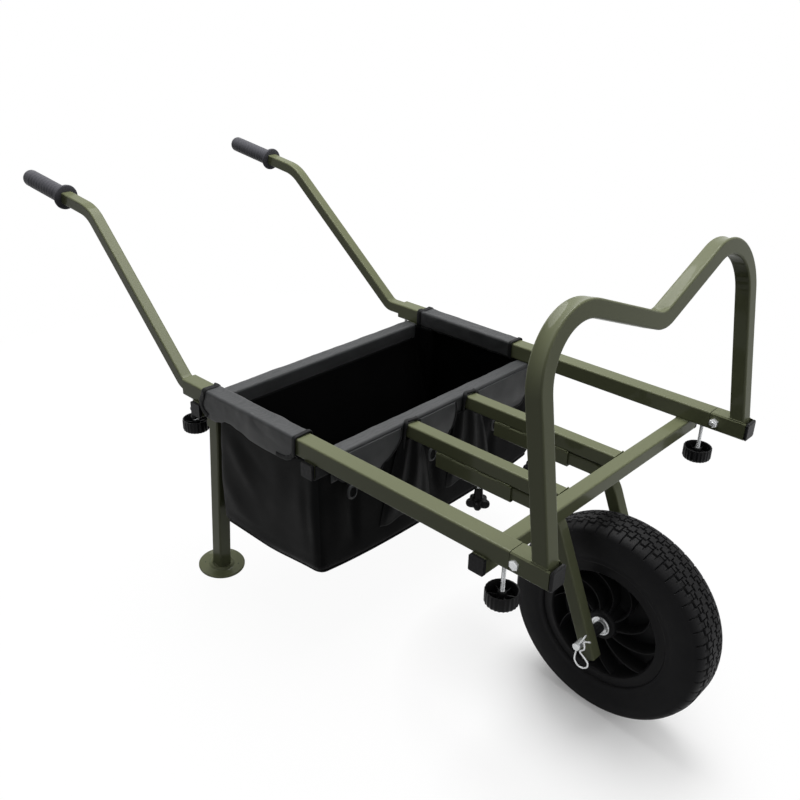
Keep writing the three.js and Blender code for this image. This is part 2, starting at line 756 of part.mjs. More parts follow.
// Foot: a dished disc with a raised ring round the leg and two small holes
function makeFoot() {
  const rim = footThickness;
  const ring = footRingRadius;
  const profile = [
    [0, 0], [footRadius, 0], [footRadius, rim], [footRadius * footFlatShare, rim],
    [footRadius * footDishShare, rim - footDish], [ring + footRingDraft, rim - footDish],
    [ring, footRingHeight], [0, footRingHeight],
  ];
  const across = (footRingRadius + footRadius) / 2;
  const seat = alongZ(easedSquare(tubeSide + 2 * fit, tubeCorner + fit), footRingHeight);
  const holes = [1, 3].map((quarter) => {
    const hole = rodZ(footHoleDiameter, 2 * overrun).translate(across, 0, -overrun);
    return hole.rotateZ(quarter * Math.PI / 2 + Math.PI / 4);
  });
  return cut(revolve(profile, rimSteps), [...holes, seat.translate(0, 0, rim - footDish)]);
}

function addLeg(chassis, side, x) {
  const upright = new THREE.Group();
  upright.position.set(x, legAt, 0);
  upright.rotation.x = slope;
  chassis.add(upright);
  addPiece(upright, `leg_socket_${side}`, makeLegSocket(), paint);
  const seat = footThickness - footDish + fit;
  const length = legHeight - legTopGap - seat;
  addPiece(upright, `leg_${side}`, alongZ(tubeProfile, length), paint, [0, 0, seat - legHeight]);
  addPiece(upright, `foot_${side}`, makeFoot(), paint, [0, 0, -legHeight]);
}

// Star head with rounded lobes about Z, and the neck on top of it
function makeStar(radius, thickness, neckLength) {
  const outline = [];
  const steps = starLobes * lobeSteps;
  const middle = radius - starBevel - starLobeDepth / 2;
  for (let i = 0; i < steps; i++) {
    const angle = i / steps * 2 * Math.PI;
    const reach = middle + starLobeDepth / 2 * Math.cos(starLobes * angle);
    outline.push(new THREE.Vector2(reach * Math.cos(angle), reach * Math.sin(angle)));
  }
  const head = new THREE.ExtrudeGeometry(new THREE.Shape(outline), {
    depth: thickness - 2 * starBevel, bevelEnabled: true, bevelSegments: 1,
    bevelThickness: starBevel, bevelSize: starBevel,
  }).translate(0, 0, starBevel);
  const tip = starNeckRadius * starNeckShare;
  const neck = new THREE.CylinderGeometry(tip, starNeckRadius, neckLength, turnSteps);
  neck.rotateX(Math.PI / 2).translate(0, 0, thickness + neckLength / 2 - starNeckSink);
  return join([head, neck]);
}

// Cup head about Z: fluted outside, open on top, with a flared hub round the stud
function makeCup() {
  const rise = cupHubHeight;
  const profile = [
    [0, 0], [cupRadius - cupWall, 0], [cupRadius, cupWall], [cupRadius, cupHeight],
    [cupRadius - cupWall, cupHeight], [cupRadius - cupWall, cupWall], [cupHubFlare, cupWall],
    [cupHubRadius, rise], [0, rise],
  ];
  const cup = revolve(profile, cupFlutes * 2);
  const place = cup.attributes.position;
  const share = 1 - cupFluteDepth / cupRadius;
  for (let i = 0; i < place.count; i++) {
    const outside = Math.hypot(place.getX(i), place.getY(i)) > cupRadius - cupWall / 2;
    const inFlute = Math.floor(i / profile.length) % 2 === 1;
    if (outside && inFlute) place.setXY(i, place.getX(i) * share, place.getY(i) * share);
  }
  const bore = rodZ(cupStudDiameter + 2 * fit, studSocketDepth + overrun);
  return cut(cup, [bore.translate(0, 0, rise - studSocketDepth)]);
}

function addForkStars(chassis) {
  const head = -(tubeSide + 2 * fit + forkSocketSide) - starDrop - starThickness;
  const neckTop = head + starThickness + starNeckLength - starNeckSink;
  const studFoot = neckTop - studSocketDepth + fit;
  const studTop = forkTubeZ - slimSide / 2 - fit;
  const bore = rodZ(starStudDiameter + 2 * fit, studSocketDepth + overrun);
  const star = cut(makeStar(starRadius, starThickness, starNeckLength),
    [bore.translate(0, 0, neckTop - head - studSocketDepth)]);
  for (const [side, x] of [['left', -innerX], ['right', innerX]]) {
    addPiece(chassis, `fork_knob_${side}`, star, plastic, [x, starAt, head]);
    addPiece(chassis, `fork_stud_${side}`, rodZ(starStudDiameter, studTop - studFoot), zinc,
      [x, starAt, studFoot]);
  }
}

// Rear stars face back: a stud moulded into each runs forward under the rear crossbar to the leg
function makeLegStar(studLength) {
  const star = makeStar(rearStarRadius, rearStarThickness, 2 * starNeckSink);
  const stud = rodZ(rearStudDiameter, studSocketDepth + studLength);
  return join([star, stud.translate(0, 0, rearStarThickness - studSocketDepth)]).rotateX(Math.PI / 2);
}

function addLegStars(chassis) {
  const headFront = rearCrossAt + tubeSide / 2 + 2 * fit + starNeckSink;
  const legRear = legAt + tubeSide / 2 / Math.cos(slope) + rearStudDrop * Math.tan(slope) + 2 * fit;
  for (const [side, x] of [['left', -railX], ['right', railX]]) {
    addPiece(chassis, `leg_knob_${side}`, makeLegStar(headFront - legRear), plastic,
      [x, headFront + rearStarThickness, -rearStudDrop]);
  }
}

function addCups(chassis) {
  const places = {
    bar: [frontCupAt, frontCupDrop], handle: [railLength - rearCupAhead, rearCupDrop],
  };
  const studTop = slimUnderside - fit;
  for (const [use, [y, drop]] of Object.entries(places)) {
    const foot = -drop - cupHeight;
    const studFoot = foot + cupHubHeight - studSocketDepth + fit;
    for (const [side, x] of [['left', -railX], ['right', railX]]) {
      addPiece(chassis, `${use}_knob_${side}`, makeCup(), plastic, [x, y, foot]);
      addPiece(chassis, `${use}_stud_${side}`, rodZ(cupStudDiameter, studTop - studFoot), zinc,
        [x, y, studFoot]);
    }
  }
}

// Bag: cloth walls that hang from sleeves round the side rails and two crossbars
const crossSleeveReach = railX - railSide / 2 - bagCloth - sleeveGap - tabMargin;
const crossSleeveBottom = -tubeSide - fit - sleeveGap - bagCloth;

// A solid of constant outline across the bag. The outline's points are [back, up] pairs
function acrossBag(points, half) {
  const outline = new THREE.Shape(points.map(([y, z]) => new THREE.Vector2(y, z)));
  return alongZ(outline, 2 * half).rotateX(Math.PI / 2).rotateZ(Math.PI / 2).translate(-half, 0, 0);
}

// The bag's bulk: its box, and the apron that slants back between the legs to the rear crossbar
function bagBulk(inset, top) {
  const floor = -bagDepth + inset;
  const front = bagCrossAt - tubeSide / 2 + inset;
  const rear = bagRearAt - inset;
  const apronTop = rearCrossAt - tubeSide / 2 - sleeveGap - inset;
  const box = acrossBag(
    [[front, top], [front - bagFrontLean, floor], [rear, floor], [rear, top]],
    railX + railSide / 2 - bagCloth - inset);
  const apronFront = rear - tubeSide;
  const apron = acrossBag(
    [[apronFront, top], [apronFront, floor], [rear, floor], [apronTop, crossSleeveBottom],
      [apronTop, top]],
    crossSleeveReach - inset);
  return join([box, apron]);
}

function makeSideSleeve() {
  const side = railSide + 2 * (sleeveGap + bagCloth);
  const section = tubeSection(side, bagCloth, railCorner);
  const sleeve = alongY(section, sleeveRear - sleeveFront).translate(0, sleeveFront, railSide / 2);
  const flap = boxBetween([-side / 2, sleeveFront, -flapDrop],
    [-side / 2 + bagCloth, legAt + legSocketSide / 2, railSide / 2]);
  const legGap = boxBetween([-railSide / 2 - sleeveGap, bagRearAt, -railSide],
    [side, sleeveRear + overrun, -fit / 2]);
  return cut(join([sleeve, flap]), [legGap]);
}

// Sleeve round a crossbar, between two places across the chassis
function makeCrossSleeve(y, from, to) {
  const side = tubeSide + 2 * (sleeveGap + bagCloth);
  const sleeve = alongX(tubeSection(side, bagCloth, capCorner), to - from);
  return sleeve.translate(from, y, -tubeSide / 2 - fit);
}

function makeBag() {
  const shell = cut(bagBulk(0, -sleeveGap - bagCloth / 2), [bagBulk(bagCloth, railSide)]);
  const barFront = bagCrossAt - tubeSide / 2 - sleeveGap - bagCloth;
  const barRear = bagCrossAt + tubeSide / 2 + sleeveGap + bagCloth;
  const barGap = boxBetween([-railSpread, barFront - overrun, crossSleeveBottom + bagCloth / 2],
    [railSpread, barRear, railSide]);
  const inside = innerX - tubeSide / 2 - tabMargin;
  const outside = innerX + tubeSide / 2 + tabMargin;
  const strip = boxBetween([-outside, barFront, -fit + sleeveGap],
    [outside, barRear, -fit + sleeveGap + bagCloth]);
  const leftSleeve = makeSideSleeve().translate(-railX, 0, 0);
  return join([
    cut(shell, [barGap]), strip, leftSleeve, mirrored(leftSleeve),
    makeCrossSleeve(bagCrossAt, -crossSleeveReach, -outside),
    makeCrossSleeve(bagCrossAt, -inside, inside),
    makeCrossSleeve(bagCrossAt, outside, crossSleeveReach),
    makeCrossSleeve(rearCrossAt, -crossSleeveReach, crossSleeveReach),
  ]);
}

// The same piece on the other side of the trolley
function mirrored(geometry) {
  return fromSolid(toSolid(geometry).mirror([1, 0, 0]));
}

function addBag(chassis) {
  addPiece(chassis, 'bag', makeBag(), cloth);
}

const trolley = new THREE.Group();
const chassis = new THREE.Group();
chassis.position.z = chassisHeight;
chassis.rotation.x = -slope;
trolley.add(chassis);

addPiece(chassis, 'side_rail_left', makeSideRail(), paint, [-railX, 0, 0]);
addPiece(chassis, 'side_rail_right', makeSideRail(), paint, [railX, 0, 0]);
addCrossbars(chassis);
addInnerRails(chassis);
addFork(chassis);
addWheel(chassis);
addFrontBar(chassis);
addHandle(chassis, 'left', -railX, 1, 0);
addHandle(chassis, 'right', railX, -1, rightHandleDraw);
addLeg(chassis, 'left', -railX);
addLeg(chassis, 'right', railX);
addForkStars(chassis);
addLegStars(chassis);
addCups(chassis);
addBag(chassis);

// The origin is the middle of the footprint's bounds, on the ground
trolley.updateMatrixWorld(true);
const bounds = new THREE.Box3().setFromObject(trolley, true);
chassis.position.y = -(bounds.min.y + bounds.max.y) / 2;

export default trolley;
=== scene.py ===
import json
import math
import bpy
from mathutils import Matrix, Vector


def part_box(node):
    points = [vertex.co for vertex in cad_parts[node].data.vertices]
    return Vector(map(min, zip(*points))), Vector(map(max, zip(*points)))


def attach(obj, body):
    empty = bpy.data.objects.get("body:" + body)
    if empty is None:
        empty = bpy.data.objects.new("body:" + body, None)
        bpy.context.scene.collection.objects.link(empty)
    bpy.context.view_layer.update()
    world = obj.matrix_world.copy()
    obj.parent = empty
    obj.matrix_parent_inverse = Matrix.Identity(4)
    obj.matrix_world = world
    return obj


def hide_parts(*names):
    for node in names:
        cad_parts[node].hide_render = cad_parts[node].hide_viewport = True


bl_info = {
    "name": "Fishing Trolley",
    "version": (1, 0, 0),
    "blender": (4, 5, 0),
    "location": "View3D > Sidebar > Trolley",
    "description": "Dresses the fishing trolley's frame in paint, cloth, rubber, plastic and zinc",
    "category": "Object",
}

import bmesh
import bpy
from bpy.props import FloatProperty, FloatVectorProperty, IntProperty, PointerProperty
from mathutils import Matrix, Vector, noise

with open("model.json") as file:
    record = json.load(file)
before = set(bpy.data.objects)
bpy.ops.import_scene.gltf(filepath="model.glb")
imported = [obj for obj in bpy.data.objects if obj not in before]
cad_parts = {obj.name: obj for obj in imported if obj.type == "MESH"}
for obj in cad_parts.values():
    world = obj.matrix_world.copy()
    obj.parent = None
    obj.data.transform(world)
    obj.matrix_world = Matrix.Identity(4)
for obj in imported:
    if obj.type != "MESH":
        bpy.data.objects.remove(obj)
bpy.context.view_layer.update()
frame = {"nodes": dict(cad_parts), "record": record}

# Sizes that the pieces share with the frame, in millimetres
RAIL_SIDE, RAIL_WALL, RAIL_LENGTH, RAIL_X = 30, 2, 716, 274
TUBE_SIDE, TUBE_WALL, SLIM_SIDE, SLIM_WALL = 25, 1.5, 22, 2
SOCKET_SIDE, SOCKET_WALL, SOCKET_Z = 28, 2.5, -39.6
FRONT_CROSS, BAG_CROSS, REAR_CROSS, CROSS_Z = 46.5, 381.5, 673.5, -12.8
CROSS_HALF, INNER_X = 289, 77
FORK_ANGLE, FORK_TUBE_Z, FORK_TAIL, FORK_REAR = math.radians(67), -39.4, 32, 283
AXLE_AHEAD, AXLE_DROP, AXLE_PIN = 11, 234, 12
WHEEL_RADIUS, TYRE_HALF, FLANGE_RADIUS, RIM_HALF = 170, 40, 108.5, 35
LEG_AT, LEG_HEIGHT, LEG_GAP, FOOT_RADIUS, HOLDER_SIDE, HOLDER_WALL = 633, 347, 3, 43, 30, 2
BAR_AHEAD, BAR_LEAN, BAR_SHOULDER = 48.5, math.radians(8.5), 368
BAR_SLOPE = math.radians(20.2)
HANDLE_INSERT, HANDLE_RUN, HANDLE_RISE = 300, 289, 248
HANDLE_END, HANDLE_END_RISE = 226, 27
GRIP_LENGTH, GRIP_RADIUS, GRIP_FLANGE = 145, 16.5, 24
SLIM_IN_RAIL_Z = RAIL_SIDE - RAIL_WALL - 0.3 - SLIM_SIDE / 2
SLEEVE_FRONT, SLEEVE_REAR, BAG_FLOOR, BAG_REAR = 410, 652, -224, 616

# The chassis frame: millimetres back from the rails' front ends and up from their undersides
WHEEL_BASE = LEG_AT + AXLE_AHEAD
SLOPE = math.acos((LEG_HEIGHT - WHEEL_RADIUS) / math.hypot(AXLE_DROP, WHEEL_BASE)) - math.atan2(
    WHEEL_BASE, AXLE_DROP
)
X, Y, Z = Vector((1, 0, 0)), Vector((0, 1, 0)), Vector((0, 0, 1))
SIDES = (("left", -1), ("right", 1))


def middle_of(node):
    low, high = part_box(node)
    return (low + high) / 2


AXLE_PLACE = Vector((0, *middle_of("axle_spacer_left").yz))
CHASSIS = (
    Matrix.Translation(AXLE_PLACE)
    @ Matrix.Rotation(-SLOPE, 4, "X")
    @ Matrix.Scale(0.001, 4)
    @ Matrix.Translation((0, AXLE_AHEAD, AXLE_DROP))
)
AXLE_IN_CHASSIS = Matrix.Translation((0, -AXLE_AHEAD, -AXLE_DROP))
HALF_TURN = Matrix.Rotation(math.pi, 4, "X")


def upright(x):
    """The frame of a leg, which stands straight up under its rail."""
    return Matrix.Translation(CHASSIS @ Vector((x, LEG_AT, 0))) @ Matrix.Scale(0.001, 4)


def turned_to(axis):
    """Turns a piece modelled up Z so that it runs along a chassis axis."""
    return Z.rotation_difference(axis).to_matrix().to_4x4()


# Meshes, each as a list of points and a list of faces


def rounded_square(side, corner, spans):
    """A square with rounded corners, and points beside each corner that keep its flats flat."""
    steps, support, inset = 5, 0.35, 2
    outline, half = [], side / 2 - corner
    for quarter in range(4):
        turn = Matrix.Rotation(quarter * math.pi / 2, 2)
        arc = [i / steps * math.pi / 2 for i in range(steps + 1)]
        bend = [(half + corner * math.cos(a), half + corner * math.sin(a)) for a in arc]
        flat = half - inset if half > 2 * inset else half - 2 * support
        bend = [(side / 2, flat), (side / 2, half - support), *bend, (half - support, side / 2)]
        bend += [(flat - 2 * flat * i / spans, side / 2) for i in range(spans)]
        outline += [turn @ Vector(point) for point in bend]
    return outline


def bent_line(corners, radii, steps):
    """Stations along straight runs with bent corners: a place, a heading and how bent it is there."""
    corners = [Vector(corner) for corner in corners]
    runs = [(b - a).normalized() for a, b in zip(corners, corners[1:])]
    stations = [(corners[0], runs[0], 0.0)]
    for i, radius in enumerate(radii):
        came, goes = runs[i], runs[i + 1]
        turn = came.angle(goes)
        inward = (goes - came * came.dot(goes)).normalized()
        start = corners[i + 1] - came * radius * math.tan(turn / 2)
        for step in range(steps + 1):
            a = turn * step / steps
            place = start + came * radius * math.sin(a) + inward * radius * (1 - math.cos(a))
            stations.append((place, came * math.cos(a) + inward * math.sin(a), math.sin(math.pi * step / steps)))
    return [*stations, (corners[-1], runs[-1], 0.0)]


def rings_to_faces(rings, count, closed_around=True, closed_along=False):
    faces = []
    for ring in range(rings if closed_along else rings - 1):
        after = (ring + 1) % rings
        for i in range(count if closed_around else count - 1):
            j = (i + 1) % count
            faces.append((ring * count + i, ring * count + j, after * count + j, after * count + i))
    return faces


def square_tube(side, wall, corner, stations, across, dent):
    """An open tube of square section along stations, with its real wall, which dents where it is bent."""
    spans = 8 if dent else 1
    outer = rounded_square(side, corner, spans)
    inner = rounded_square(side - 2 * wall, max(corner - wall, 0.6), spans)
    shells = []
    for outline in (outer, inner):
        points, top = [], max(b for a, b in outline)
        for place, heading, bent in stations:
            over = (across - heading * across.dot(heading)).normalized()
            rise = over.cross(heading)
            for a, b in outline:
                hollow = max(1 - (a / (side / 2 - corner)) ** 2, 0) if b > top - 0.01 else 0
                points.append(place + over * a + rise * (b - dent * bent * hollow))
        shells.append((points, rings_to_faces(len(stations), len(outline))))
    count, (points, faces) = len(outer), shells[0]
    base = len(points)
    points = points + shells[1][0]
    faces = faces + [tuple(base + i for i in face[::-1]) for face in shells[1][1]]
    for first in (0, base - count):
        for i in range(count):
            j = (i + 1) % count
            faces.append((first + i, first + j, base + first + j, base + first + i))
    return points, faces


def turned(profile, steps=48, lobes=0, sharpness=1.0):
    """A profile turned about Z. A station is a radius and a height, and may add a lobe depth."""
    points = []
    for radius, height, *depth in profile:
        for i in range(steps):
            angle = math.tau * i / steps
            hollow = (0.5 - 0.5 * math.cos(lobes * angle)) ** sharpness
            reach = radius - (depth[0] * hollow if depth else 0)
            points.append(Vector((reach * math.cos(angle), reach * math.sin(angle), height)))
    return points, rings_to_faces(len(profile), steps)


def box(low, high):
    """A box from its low and high corners."""
    points = [Vector((x, y, z)) for z in (low[2], high[2]) for y in (low[1], high[1]) for x in (low[0], high[0])]
    faces = [(0, 2, 3, 1), (4, 5, 7, 6), (0, 1, 5, 4), (2, 6, 7, 3), (0, 4, 6, 2), (1, 3, 7, 5)]
    return points, faces


def smooth_line(places, steps):
    """Points on one smooth curve through the places given."""
    places = [Vector(place) for place in places]
    last = len(places) - 1
    line = []
    for i in range(last):
        a, b, c, d = (places[min(max(i + k, 0), last)] for k in (-1, 0, 1, 2))
        for step in range(steps):
            t = step / steps
            line.append(
                b + (c - a) * t / 2 + (a * 2 - b * 5 + c * 4 - d) * t**2 / 2 + (b * 3 - a - c * 3 + d) * t**3 / 2
            )
    return [*line, places[-1]]


def headings_along(line, closed=False):
    """The direction of a line of points at each of them."""
    count = len(line)
    ahead = [line[(i + 1) % count] if closed else line[min(i + 1, count - 1)] for i in range(count)]
    behind = [line[i - 1] if closed else line[max(i - 1, 0)] for i in range(count)]
    return [(a - b).normalized() for a, b in zip(ahead, behind)]


def end_faces(rings, count):
    """The two faces that close the ends of a run of rings."""
    return [tuple(range(count))[::-1], tuple(range((rings - 1) * count, rings * count))]


def wire(line, radius, sides, closed=False, flat=1.0):
    """A round wire along a line of points, or a flat strap where flat is below 1."""
    headings = headings_along(line, closed)
    over = headings[0].orthogonal().normalized()
    points = []
    for place, heading in zip(line, headings):
        over = (over - heading * over.dot(heading)).normalized()
        rise = heading.cross(over)
        for i in range(sides):
            angle = math.tau * i / sides
            points.append(place + over * radius * math.cos(angle) + rise * radius * flat * math.sin(angle))
    faces = rings_to_faces(len(line), sides, closed_along=closed)
    return points, faces if closed else faces + end_faces(len(line), sides)


def moved(mesh, matrix):
    points, faces = mesh
    return [matrix @ point for point in points], faces


def together(*meshes):
    points, faces = [], []
    for more_points, more_faces in meshes:
        base = len(points)
        points += more_points
        faces += [tuple(base + i for i in face) for face in more_faces]
    return points, faces


def soft_step(low, high, value):
    share = min(max((value - low) / (high - low), 0), 1)
    return share * share * (3 - 2 * share)


def ripple(place, scale, seed):
    """Smooth seeded noise from -1 to 1, with one octave of detail."""
    point = Vector(place) / scale + Vector((seed, seed * 1.7, -seed))
    return noise.noise(point) + 0.4 * noise.noise(point * 2.3)


def link_object(name, data):
    made = bpy.data.objects.new(name, data)
    bpy.context.scene.collection.objects.link(made)
    return made


def add_piece(name, mesh, finish_name, body, nodes=(), place=CHASSIS, sharp=38):
    """Makes an object from a mesh in millimetres, rides it on its body and gives it its finish."""
    points, faces = mesh
    data = bpy.data.meshes.new(name)
    data.from_pydata([place @ point for point in points], [], faces)
    worked = bmesh.new()
    worked.from_mesh(data)
    bmesh.ops.remove_doubles(worked, verts=worked.verts, dist=2e-6)
    bmesh.ops.dissolve_degenerate(worked, edges=worked.edges, dist=1e-7)
    bmesh.ops.recalc_face_normals(worked, faces=worked.faces)
    worked.to_mesh(data)
    worked.free()
    data.shade_smooth()
    data.set_sharp_from_angle(angle=math.radians(sharp))
    data.materials.append(finish(finish_name))
    piece = link_object(name, data)
    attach(piece, body)
    if nodes:
        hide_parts(*nodes)
    return piece


# Shader groups and finishes


def add_node(tree, kind, links=None, **settings):
    node = tree.nodes.new(kind)
    for key, value in settings.items():
        setattr(node, key, value)
    for key, value in (links or {}).items():
        socket = node.inputs[key]
        if isinstance(value, bpy.types.NodeSocket):
            tree.links.new(value, socket)
        else:
            socket.default_value = value
    return node


def new_group(name, inputs, outputs):
    tree = bpy.data.node_groups.new(name, "ShaderNodeTree")
    for label, default in inputs.items():
        socket = tree.interface.new_socket(label, in_out="INPUT", socket_type="NodeSocketFloat")
        socket.default_value = default
    for label in outputs:
        tree.interface.new_socket(label, in_out="OUTPUT", socket_type="NodeSocketFloat")
    return tree, add_node(tree, "NodeGroupInput").outputs, add_node(tree, "NodeGroupOutput").inputs


def math_node(tree, operation, a, b=0.0):
    return add_node(tree, "ShaderNodeMath", {0: a, 1: b}, operation=operation).outputs[0]


def spread(tree, value, low, high, start=0.3, end=0.7):
    """A value that goes from low to high while the one given goes from start to end."""
    limits = {"From Min": start, "From Max": end, "To Min": low, "To Max": high}
    return add_node(tree, "ShaderNodeMapRange", {"Value": value, **limits}).outputs[0]


def noise_over(tree, scale, detail):
    """Noise in a piece's own coordinates."""
    where = add_node(tree, "ShaderNodeTexCoord").outputs["Object"]
    return add_node(tree, "ShaderNodeTexNoise", {"Vector": where, "Scale": scale, "Detail": detail}).outputs[0]


def make_grain():
    """Fine grain of a moulded or sprayed surface, with a slow cloudiness beneath it."""
    tree, given, out = new_group("Fine Grain", {"Scale": 900.0, "Cloud Scale": 14.0}, ["Height", "Cloud"])
    tree.links.new(noise_over(tree, given["Scale"], 2.0), out["Height"])
    tree.links.new(noise_over(tree, given["Cloud Scale"], 4.0), out["Cloud"])
    return tree


def make_edge_wear_and_highlight():
    """A mask on outer edges, broken up by noise. It paints wear, and on the paint also a painted highlight along
    the edges.
    """
    tree, given, out = new_group("Edge Wear And Highlight", {"Start": 0.53, "Full": 0.62, "Breakup": 60.0}, ["Mask"])
    edge = add_node(tree, "ShaderNodeNewGeometry").outputs["Pointiness"]
    ramp = spread(tree, edge, 0, 1, given["Start"], given["Full"])
    kept = spread(tree, noise_over(tree, given["Breakup"], 5.0), 0, 1, 0.35, 0.7)
    tree.links.new(math_node(tree, "MULTIPLY", ramp, kept), out["Mask"])
    return tree


def make_weave():
    """Plain weave from crossed waves. Threads run level and upright on any wall, and crosswise on a floor."""
    tree, given, out = new_group("Plain Weave", {"Threads": 1300.0}, ["Height", "Tone"])
    where = add_node(tree, "ShaderNodeTexCoord").outputs["Object"]
    split = add_node(tree, "ShaderNodeSeparateXYZ", {0: where}).outputs
    level = math_node(tree, "ADD", split[0], split[1])
    rows = math_node(tree, "SINE", math_node(tree, "MULTIPLY", level, given["Threads"]))
    lines = math_node(tree, "SINE", math_node(tree, "MULTIPLY", split[2], given["Threads"]))
    tree.links.new(math_node(tree, "MULTIPLY", rows, lines), out["Height"])
    tree.links.new(noise_over(tree, 11.0, 4.0), out["Tone"])
    return tree


def make_dust():
    """Dust that settles on faces that look up, in patches."""
    tree, given, out = new_group("Settled Dust", {"Amount": 0.3, "Patches": 25.0}, ["Mask"])
    normal = add_node(tree, "ShaderNodeNewGeometry").outputs["Normal"]
    up = add_node(tree, "ShaderNodeSeparateXYZ", {0: normal}).outputs[2]
    both = math_node(tree, "MULTIPLY", spread(tree, up, 0, 1, 0.2, 1.0), noise_over(tree, given["Patches"], 6.0))
    tree.links.new(math_node(tree, "MULTIPLY", both, given["Amount"]), out["Mask"])
    return tree


GROUPS = {
    "Fine Grain": make_grain,
    "Edge Wear And Highlight": make_edge_wear_and_highlight,
    "Plain Weave": make_weave,
    "Settled Dust": make_dust,
}


def use_group(tree, name, **values):
    made = bpy.data.node_groups.get(name) or GROUPS[name]()
    node = add_node(tree, "ShaderNodeGroup", node_tree=made)
    for key, value in values.items():
        node.inputs[key.replace("_", " ")].default_value = value
    return node.outputs


def mixed(tree, mask, low, high):
    """A colour mixed by a mask. Each end is a colour or a colour socket."""
    node = add_node(tree, "ShaderNodeMix", {"Factor": mask}, data_type="RGBA")
    for key, value in ((6, low), (7, high)):
        if isinstance(value, bpy.types.NodeSocket):
            tree.links.new(value, node.inputs[key])
        else:
            node.inputs[key].default_value = (*value, 1)
    return node.outputs[2]


def new_finish(name, **shader_values):
    material = bpy.data.materials.new(name)
    material.use_nodes = True
    shader = material.node_tree.nodes["Principled BSDF"]
    for key, value in shader_values.items():
        shader.inputs[key.replace("_", " ")].default_value = value
    return material, material.node_tree, shader


def surface(tree, shader, colour, roughness, height, strength, distance):
    """Links a colour, a roughness and a bumped height to the shader."""
    bumped = add_node(tree, "ShaderNodeBump", {"Height": height, "Strength": strength, "Distance": distance})
    for value, name in ((colour, "Base Color"), (roughness, "Roughness"), (bumped.outputs[0], "Normal")):
        tree.links.new(value, shader.inputs[name])


def shade(colour, times):
    return tuple(min(channel * times, 1) for channel in colour)


def make_paint(name):
    """Satin powder coat: an even colour, orange peel, and a thin gloss that catches the lamps. Its outer edges are
    paler: partly wear, partly a painted highlight.
    """
    colour = bpy.context.scene.trolley_fittings.paint_colour
    material, tree, shader = new_finish(
        name, Specular_IOR_Level=0.06, Coat_Roughness=0.06, Coat_Weight=0.14,
        Coat_Tint=(0.96, 1, 0.92, 1), Specular_Tint=(1, 1, 0.85, 1),
    )
    grain = use_group(tree, "Fine Grain", Scale=1100.0, Cloud_Scale=3.0)
    pale_edges = use_group(tree, "Edge Wear And Highlight", Start=0.74, Full=0.95, Breakup=30.0)
    dust = use_group(tree, "Settled Dust", Amount=0.02, Patches=12.0)
    clouded = mixed(tree, spread(tree, grain["Cloud"], 0, 1), shade(colour, 0.97), shade(colour, 1.03))
    # Paler outer edges: partly wear, partly a painted highlight along the paint's edges
    worn = mixed(tree, pale_edges["Mask"], clouded, shade(colour, 1.2))
    dusty = mixed(tree, dust["Mask"], worn, (0.24, 0.25, 0.17))
    surface(tree, shader, dusty, spread(tree, grain["Cloud"], 0.3, 0.36), grain["Height"], 0.03, 0.00005)
    return material


def make_zinc(name):
    """Bright zinc plate, faintly clouded."""
    colour = bpy.context.scene.trolley_fittings.zinc_colour
    material, tree, shader = new_finish(name, Metallic=0.55)
    grain = use_group(tree, "Fine Grain", Scale=700.0, Cloud_Scale=120.0)
    clouded = mixed(tree, spread(tree, grain["Cloud"], 0, 1), shade(colour, 1.3), shade(colour, 1.5))
    surface(tree, shader, clouded, spread(tree, grain["Cloud"], 0.2, 0.36), grain["Height"], 0.1, 0.0003)
    return material


def make_moulded(name, colour, roughness, grain_scale, grain_depth, edge=2.6):
    """Moulded plastic or rubber: fine grain, pale worn edges and a little dust."""
    material, tree, shader = new_finish(name, Specular_IOR_Level=0.08)
    grain = use_group(tree, "Fine Grain", Scale=grain_scale, Cloud_Scale=40.0)
    pale_edges = use_group(tree, "Edge Wear And Highlight", Start=0.53, Full=0.66, Breakup=200.0)
    dust = use_group(tree, "Settled Dust", Amount=0.1, Patches=60.0)
    worn = mixed(tree, pale_edges["Mask"], tuple(colour), shade(colour, edge))
    dusty = mixed(tree, dust["Mask"], worn, (0.1, 0.098, 0.09))
    rough = spread(tree, grain["Cloud"], roughness - 0.05, roughness + 0.08)
    surface(tree, shader, dusty, rough, grain["Height"], 0.35, grain_depth)
    return material


def make_cloth(name, times=1.25, roughness=0.38, depth=0.0003, gloss=0.16):
    """Coated bag cloth: a fine weave under a slightly glossy film."""
    cloth = bpy.context.scene.trolley_bag.cloth_colour
    colour = tuple(times * (0.3 * channel + 0.7 * cloth[1]) for channel in cloth)
    material, tree, shader = new_finish(name, Specular_IOR_Level=gloss)
    weave = use_group(tree, "Plain Weave", Threads=4200.0)
    dust = use_group(tree, "Settled Dust", Amount=0.06, Patches=30.0)
    toned = mixed(tree, spread(tree, weave["Tone"], 0, 1), shade(colour, 0.82), shade(colour, 1.2))
    threads = mixed(tree, spread(tree, weave["Height"], 0, 1, -1, 1), toned, shade(colour, 1.15))
    dusty = mixed(tree, dust["Mask"], threads, shade(colour, 4))
    rough = spread(tree, weave["Tone"], roughness - 0.06, roughness + 0.08)
    surface(tree, shader, dusty, rough, weave["Height"], 0.25, depth)
    return material


